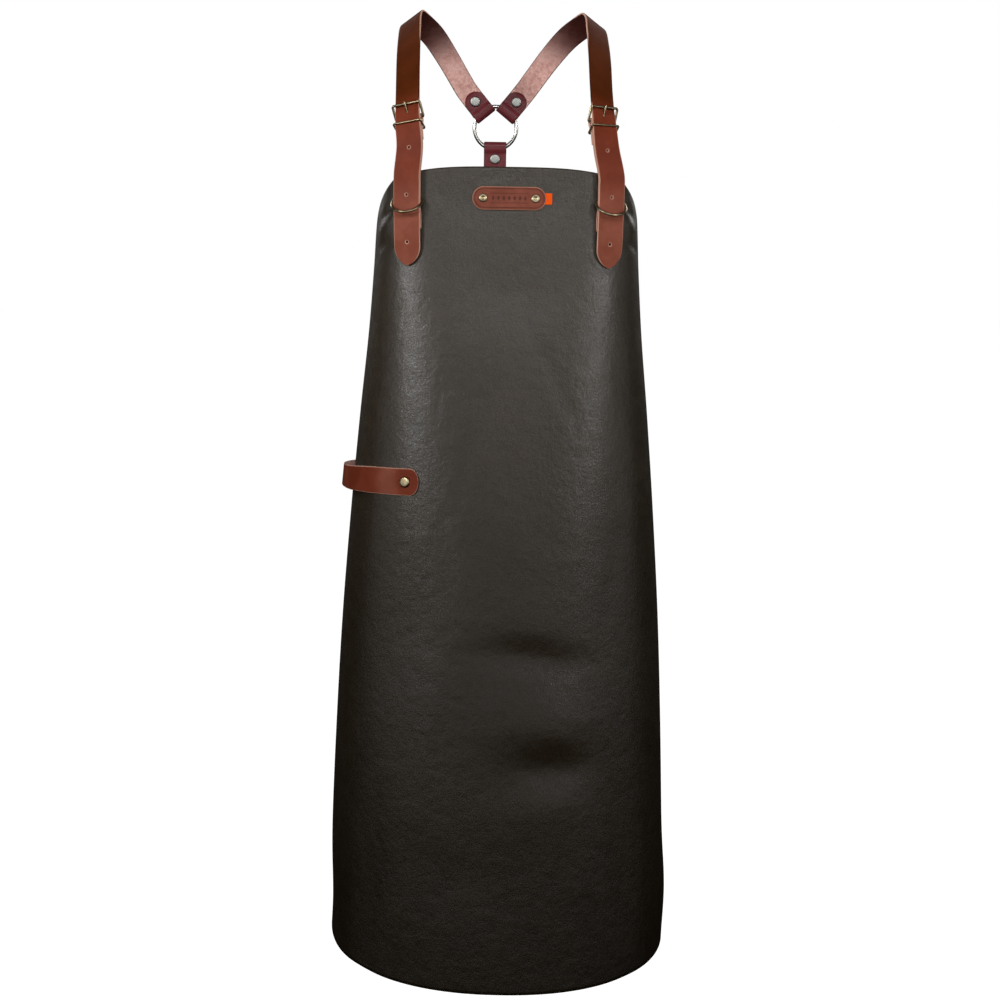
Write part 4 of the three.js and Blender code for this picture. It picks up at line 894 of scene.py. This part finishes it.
def wire(name, slot, centre, u, v, path, radius, mirror=1, closed=True, taper=None, turns=18):
    """Round wire: a circle carried along a path of (u, v) points in a plane. An open
    wire tapers by the shares in taper and is closed by a point at each end."""
    if closed:
        before, after = np.roll(path, 1, axis=0), np.roll(path, -1, axis=0)
    else:
        before = np.concatenate([path[:1], path[:-1]])
        after = np.concatenate([path[1:], path[-1:]])
    way = unit(after - before)
    normal = unit(np.cross(u, v))
    side = way[:, 1:] * u - way[:, :1] * v
    angle = 2 * np.pi * np.arange(turns) / turns
    size = radius * (np.ones(len(path)) if taper is None else taper)
    spine = centre + path[:, :1] * u + path[:, 1:] * v
    rings = spine[:, None] + size[:, None, None] * (
        np.cos(angle)[:, None] * side[:, None] + np.sin(angle)[:, None] * normal)
    index = np.arange(len(path) * turns).reshape(len(path), turns)
    around = np.roll(index, -1, axis=1)
    here, there = (index, np.roll(index, -1, axis=0)) if closed else (index[:-1], index[1:])
    here2, there2 = (around, np.roll(around, -1, axis=0)) if closed else (around[:-1], around[1:])
    faces = [np.stack([here, here2, there2, there], axis=-1).reshape(-1, 4)]
    points = rings.reshape(-1, 3)
    if not closed:
        tips = np.stack([spine[0] - size[0] * 0.5 * (way[0] @ np.stack([u, v])),
                         spine[-1] + size[-1] * 0.5 * (way[-1] @ np.stack([u, v]))])
        low, high = index.size, index.size + 1
        faces.append(np.concatenate([
            np.stack([around[0], index[0], np.full(turns, low)], axis=-1),
            np.stack([index[-1], around[-1], np.full(turns, high)], axis=-1)]))
        points = np.concatenate([points, tips])
    piece = add_piece(name, points * np.array((mirror, 1, 1)), faces, slot)
    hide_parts(name.removesuffix("_metal"))
    return piece


def rounded_rectangle(left, low, right, high, corner, steps=8):
    """A rectangle's outline with quarter circles at its corners."""
    angle = np.radians(90) * np.arange(steps + 1) / steps
    centres = [(right - corner, high - corner), (left + corner, high - corner),
               (left + corner, low + corner), (right - corner, low + corner)]
    return np.concatenate([
        np.array(centre) + corner * np.stack([np.cos(angle + q * np.pi / 2),
                                              np.sin(angle + q * np.pi / 2)], axis=-1)
        for q, centre in enumerate(centres)])


for name, side in sides.items():
    strap_frame, flip = side["strap_frame"], side["flip"]
    legs = STRAP_WIDTH / 2 + WIRE_SIDE_GAP + BUCKLE_WIRE
    wire(f"buckle_frame_{name}_metal", "antique_brass", side["hinge_centre"],
         side["hinge_across"], side["frame_up"],
         rounded_rectangle(-legs, 0, legs, BUCKLE_LENGTH, 1.9 * mm), BUCKLE_WIRE, flip)

    hook = BUCKLE_WIRE + LAYER_GAP + PRONG_WIRE
    angle = np.radians(np.linspace(80, 8, 10))
    length = BUCKLE_LENGTH
    run = np.array([(length * 0.3, hook), (length * 0.5, hook), (length * 0.8, hook),
                    (length, hook), (length + 1.2 * mm, hook - 0.03 * mm),
                    (length + 2.2 * mm, hook - 0.1 * mm), (length + 2.8 * mm, hook - 0.2 * mm)])
    path = np.concatenate([np.stack([-hook * np.sin(angle), hook * np.cos(angle)], axis=-1), run])
    taper = 1 - 0.35 * smooth(0.8, 1.0, np.linspace(0, 1, len(path)))
    wire(f"buckle_prong_{name}_metal", "antique_brass", side["hinge_centre"],
         side["frame_up"], side["frame_out"], path, PRONG_WIRE, flip, False, taper)

    at = side["bar"] - KEEPER_DISTANCE
    front_point, front_across, _, front_out = strap_frame(at)
    rear_point, _, _, rear_out = strap_frame(at - KEEPER_SLANT)
    front = front_point + front_out * (STRAP_THICKNESS / 2 + LAYER_GAP + KEEPER_WIRE)
    rear = rear_point - rear_out * (
        behind + BASE_THICKNESS * 1.5 + 3 * LAYER_GAP + KEEPER_WIRE)
    legs = STRAP_WIDTH / 2 + WIRE_SIDE_GAP + KEEPER_WIRE
    depth = np.linalg.norm(front - rear)
    wire(f"strap_keeper_{name}_metal", "antique_brass", rear, front_across,
         unit(front - rear), rounded_rectangle(-legs, 0, legs, depth, 1.6 * mm),
         KEEPER_WIRE, flip)

    point, across, rise, out = sheet_frame(-STRAP_ON_BIB, -D_RING_DROP)
    legs = STRAP_WIDTH / 2 + WIRE_SIDE_GAP + D_RING_WIRE
    straight = D_RING_LENGTH - legs
    angle = np.radians(np.linspace(0, 180, 33))
    bow = np.stack([legs * np.cos(angle), straight + legs * np.sin(angle)], axis=-1)
    corners = rounded_rectangle(-legs, 0, legs, D_RING_LENGTH, 2 * mm)[18:]
    wire(f"d_ring_{name}_metal", "antique_brass", point + out * (SHEET_LIFT + D_RING_WIRE),
         across, -rise * np.cos(D_RING_TILT) + out * np.sin(D_RING_TILT),
         np.concatenate([bow, corners]), D_RING_WIRE, flip)

# Ring: welded steel wire, nickel plated and polished, about 60 mm across. It joins the
# two shoulder straps and the back strap, whose folds are closed by domed nickel rivets.
ring_centre = np.array((-RING_SWAY, RING_BACK, -RING_DROP))
angle = 2 * np.pi * np.arange(96) / 96
wire("back_ring_metal", "nickel", ring_centre, np.array((1.0, 0, 0)), up,
     RING_RADIUS * np.stack([np.cos(angle), np.sin(angle)], axis=-1), RING_WIRE, turns=24)
ring_grip = 2 * STRAP_THICKNESS + LAYER_GAP
for name, side in sides.items():
    rivet(f"ring_rivet_{name}_metal", "nickel", DOME, ring_grip, 5 * mm, 1 * mm,
          side["rivet_at"] * side["mirror"], -backward)

# Waist strap: strap leather riveted outside the sheet at the front left. It stands off
# the side in a slack bow, runs round the back and is riveted inside the right edge.
WAIST_DROP, WAIST_WIDTH, WAIST_BACK_WIDTH = 556 * mm, 32 * mm, 27.5 * mm
WAIST_RIVET_ARC, WAIST_TAB_MARGIN, WAIST_FAR_RIVET_ARC = 120.3 * mm, 16.6 * mm, 303 * mm
WAIST_NOSE = 0.65
WAIST_BOW, WAIST_BACK_DEPTH, WAIST_BACK_SAG = 13.5 * mm, 135 * mm, 20 * mm

# along, lift, sag, back
waist_run = np.array([
    (0.00, 0.00, 0.00, 0.0), (0.09, 0.05, 0.10, 0.0), (0.18, 0.50, 0.35, 0.0),
    (0.26, 1.00, 0.55, 0.0), (0.36, 1.05, 0.75, 0.6), (0.50, 1.00, 1.00, 1.0),
    (0.70, 0.80, 1.00, 1.0), (0.84, 0.30, 0.80, 0.7), (0.93, 0.00, 0.62, 0.0),
    (1.00, 0.00, 0.55, 0.0),
])


def form_at(z):
    """Width, depth, reach and square of the sheet at heights."""
    return np.moveaxis(read_table(sheet_form, (-BIB_DROP - np.asarray(z, float)) / SHEET_DROP),
                       -1, 0)


waist_form = form_at(np.array([-WAIST_DROP]))
waist_start = angle_at_arc(waist_form[0], waist_form[1], waist_form[3],
                           np.array([WAIST_RIVET_ARC - WAIST_TAB_MARGIN]))[0]
waist_end = 2 * np.pi - angle_at_arc(waist_form[0], waist_form[1], waist_form[3],
                                     np.array([WAIST_FAR_RIVET_ARC - WAIST_TAB_MARGIN]))[0]


def waist_point(share, rise=0.0):
    """Middle line of the waist strap: the body's section, lifted by the bow, passing to
    a rounder back line behind."""
    lift, sag, back = read_table(waist_run, share).T
    angle = waist_start + (waist_end - waist_start) * share
    z = -WAIST_DROP - WAIST_BACK_SAG * sag + rise
    width, depth, _, square = form_at(z)
    ahead = section_radius(width, depth, square, angle)
    rear = section_radius(waist_form[0], WAIST_BACK_DEPTH / HEM_DEPTH, 2.2, angle)
    radius = ahead + (rear - ahead) * back
    inside = (SHEET_THICKNESS + 2 * SHEET_LIFT + STRAP_THICKNESS) * smooth(0.78, 0.9, share)
    reach = radius + SHEET_LIFT + STRAP_THICKNESS / 2 + WAIST_BOW * lift - inside
    return np.stack([-reach * np.sin(angle), -reach * np.cos(angle), z], axis=-1)


share = np.linspace(0, 1, 800)
line = waist_point(share)
guide = unit(waist_point(share, 5 * mm) - waist_point(share, -5 * mm))
distance = np.append(0, np.cumsum(np.linalg.norm(np.diff(line, axis=0), axis=1)))
waist_length = distance[-1]


def waist_half(at):
    """Full width at both tabs, slimmer round the back."""
    at = np.asarray(at, float) / waist_length
    slim = smooth(0.06, 0.24, at) * (1 - smooth(0.85, 1.0, at))
    return (WAIST_WIDTH + (WAIST_BACK_WIDTH - WAIST_WIDTH) * slim) / 2


# The dip of tone near the first tab paints a highlight on the strap's bow.
waist = strap("waist_strap_leather", "strap_leather", line, guide, waist_half,
              STRAP_THICKNESS, ends=(True, True), nose=WAIST_NOSE, end_nose=WAIST_NOSE,
              tone=lambda at: -0.9 * np.exp(-((at - 42 * mm) / (17 * mm)) ** 2))
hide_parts("waist_strap")
tangent, across, out = framed(line, guide)
grip = STRAP_THICKNESS + SHEET_LIFT + SHEET_THICKNESS + FOOT_ROOM
shift = (grip - STRAP_THICKNESS) / 2
for name, at, side in (("left", WAIST_TAB_MARGIN, -1),
                       ("right", waist_length - WAIST_TAB_MARGIN, 1)):
    point, cap_out = at_distance(distance, line, at), at_distance(distance, out, at)
    rivet(f"waist_rivet_{name}_metal", "antique_brass", DOME, grip, 5 * mm, 1 * mm,
          point + cap_out * side * shift, cap_out)

# Back strap: folded on the ring above, hanging down the back and folded round the waist
# strap below, each fold closed by one domed rivet.
BACK_WIDTH, BACK_THICKNESS = 28.6 * mm, 2.4 * mm
BACK_TAB_END, CENTRE_RIVET_DISTANCE = 70 * mm, 40 * mm
behind_wearer = (share > 0.3) & (share < 0.8)
order = np.argsort(line[behind_wearer, 0])
waist_back = np.array([np.interp(0, line[behind_wearer, 0][order], line[behind_wearer, k][order])
                       for k in range(3)])
loop_offset = STRAP_THICKNESS / 2 + 0.8 * mm + BACK_THICKNESS / 2
close = (BACK_THICKNESS + LAYER_GAP) / 2
loop_reach = WAIST_BACK_WIDTH / 2 + 1 * mm
back_rivet_rise = loop_reach + 16 * mm
loop_tab_end = back_rivet_rise + 14 * mm


def loop_layer(rise, side):
    """One layer of the lower fold: clear of the waist strap, then closed above it."""
    offset = loop_offset + (close - loop_offset) \
        * smooth(loop_reach + 1 * mm, loop_reach + 10 * mm, rise)
    return np.stack([rise * 0, waist_back[1] + side * offset, waist_back[2] + rise], axis=-1)


angle = np.radians(np.linspace(0, 180, 16))[1:-1]
loop_turn = np.stack([angle * 0, waist_back[1] - loop_offset * np.cos(angle),
                      waist_back[2] - loop_reach - loop_offset * np.sin(angle)], axis=-1)
ring_line, _ = ring_end(ring_centre, -up, np.array((1.0, 0, 0)), BACK_WIDTH / 2,
                        BACK_THICKNESS, 76 * mm, BACK_TAB_END, lambda at: at * 0)
foot = loop_layer(np.array([loop_reach + 34 * mm]), 1)[0]
hang_share = np.linspace(0, 1, 60)[1:-1]
hang = foot + smooth(0, 1, hang_share)[:, None] * (ring_line[0] - foot)
hang[:, 2] = foot[2] + hang_share * (ring_line[0][2] - foot[2])
back_line = np.concatenate([
    loop_layer(np.linspace(loop_tab_end, -loop_reach, 44), -1), loop_turn,
    loop_layer(np.linspace(-loop_reach, loop_reach + 34 * mm, 60), 1), hang, ring_line])
back_guide = np.broadcast_to((-1.0, 0, 0), back_line.shape)
back_length = np.linalg.norm(np.diff(back_line, axis=0), axis=1).sum()
back_strap = strap("back_strap_leather", "strap_leather", back_line, back_guide,
                   lambda at: np.full_like(np.asarray(at, float), BACK_WIDTH / 2),
                   BACK_THICKNESS, ends=(True, True),
                   tone=strap_tone([(0, 0), (back_length - 0.16, 0), (back_length - 0.11, 2.0)]))
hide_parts("back_strap")
grip = 2 * BACK_THICKNESS + LAYER_GAP
rivet("back_strap_rivet_metal", "antique_brass", DOME, grip, 5 * mm, 1 * mm,
      np.array((0, waist_back[1], waist_back[2] + back_rivet_rise)), backward)
rivet("ring_rivet_centre_metal", "nickel", DOME, grip, 5 * mm, 1 * mm,
      ring_centre - up * CENTRE_RIVET_DISTANCE, -backward)

# Studio: a white floor below the hem and a white surround. The light comes from two
# soft lamps in front, high on the left and right, one in front above and two dim ones
# behind, and from a surround that fades from a bright ceiling to dark below.
FLOOR_DROP = 1.45
floor_mesh = bpy.data.meshes.new("floor")
floor_mesh.from_pydata([(-30, -30, -FLOOR_DROP), (30, -30, -FLOOR_DROP),
                        (30, 30, -FLOOR_DROP), (-30, 30, -FLOOR_DROP)], [], [(0, 1, 2, 3)])
floor = bpy.data.objects.new("floor", floor_mesh)
bpy.context.scene.collection.objects.link(floor)
paint = bpy.data.materials.new("floor_paint")
paint.use_nodes = True
paint_shader = paint.node_tree.nodes["Principled BSDF"].inputs
paint_shader["Base Color"].default_value = (0.9, 0.9, 0.9, 1)
paint_shader["Roughness"].default_value = 0.9
paint_shader["Emission Color"].default_value = (1, 1, 1, 1)
paint_shader["Emission Strength"].default_value = 1.0
floor_mesh.materials.append(paint)
floor.visible_diffuse = floor.visible_glossy = False

SURROUND_TOP, SURROUND_BELOW, SURROUND_BAND = 0.02, 0.002, 1.35
world = bpy.data.worlds.new("studio")
bpy.context.scene.world = world
world.use_nodes = True
background = world.node_tree.nodes["Background"].inputs
background["Color"].default_value = (1, 1, 1, 1)
heading = Wire(world.node_tree.nodes.new("ShaderNodeTexCoord").outputs["Generated"])
behind, height = (heading.node("SeparateXYZ", {}, {0: heading}, out=axis) for axis in (1, 2))
seen = heading.node("LightPath", out=0)
glow = SURROUND_BELOW + (SURROUND_TOP - SURROUND_BELOW) * height.between(-0.35, 0.1)
band = height.between(-0.20, -0.03) * (0.17 - height).between(0.0, 0.15)
glow = glow + SURROUND_BAND * band * (0.25 - behind).between(0.0, 0.4)
strength = glow * (1 - seen) + seen
world.node_tree.links.new(strength.socket, background["Strength"])


def lamp(name, place, aim, width, height, power, spread):
    """A rectangular soft lamp at a place, turned towards a point."""
    light = bpy.data.lights.new(name, "AREA")
    light.shape, light.size, light.size_y, light.energy = "RECTANGLE", width, height, power
    light.spread = np.radians(spread)
    lit = bpy.data.objects.new(name, light)
    bpy.context.scene.collection.objects.link(lit)
    aim_way = unit(np.array(aim, float) - np.array(place, float))
    side_way = unit(np.cross(aim_way, (0, 0, 1)))
    top_way = np.cross(side_way, aim_way)
    turn_matrix = np.eye(4)
    turn_matrix[:3, 0], turn_matrix[:3, 1] = side_way, top_way
    turn_matrix[:3, 2], turn_matrix[:3, 3] = -aim_way, place
    lit.matrix_world = Matrix(turn_matrix.tolist())


lamp("lamp_left", (-1.7, -1.9, 0.45), (0, 0, -0.16), 0.6, 1.0, 2.6, 44)
lamp("lamp_right", (1.6, -2.0, 0.45), (0, 0, -0.16), 0.6, 1.0, 1.6, 44)
lamp("lamp_front", (0.1, -2.6, 0.9), (0, 0, 0.0), 1.2, 0.8, 1.3, 42)
lamp("lamp_back_left", (-1.8, 1.9, 0.9), (0, 0, -0.1), 1.0, 1.4, 3.6, 56)
lamp("lamp_back_right", (1.8, 1.9, 0.9), (0, 0, -0.1), 1.0, 1.4, 3.6, 56)

# Camera: in front, a little above the middle and a hair to the left, rolled as in the
# photo. Distance and lens keep the photo's mild perspective.
AZIMUTH, ELEVATION, ROLL = np.radians((-1.5, 8.3, 0.9))
AIM, DISTANCE, LENS = np.array((-3.5, -42.4, -590.4)) * mm, 2.067, 59.4
back_way = np.array((np.sin(AZIMUTH) * np.cos(ELEVATION),
                     -np.cos(AZIMUTH) * np.cos(ELEVATION), np.sin(ELEVATION)))
right_way = unit(np.cross(-back_way, up))
top_way = np.cross(right_way, -back_way)
camera_data = bpy.data.cameras.new("camera")
camera_data.lens, camera_data.sensor_width = LENS, 36.0
camera = bpy.data.objects.new("camera", camera_data)
bpy.context.scene.collection.objects.link(camera)
pose = np.eye(4)
pose[:3, 0] = np.cos(ROLL) * right_way + np.sin(ROLL) * top_way
pose[:3, 1] = np.cos(ROLL) * top_way - np.sin(ROLL) * right_way
pose[:3, 2], pose[:3, 3] = back_way, AIM + back_way * DISTANCE
camera.matrix_world = Matrix(pose.tolist())
bpy.context.scene.camera = camera
bpy.context.scene.view_settings.view_transform = "Standard"

bpy.context.view_layer.update()
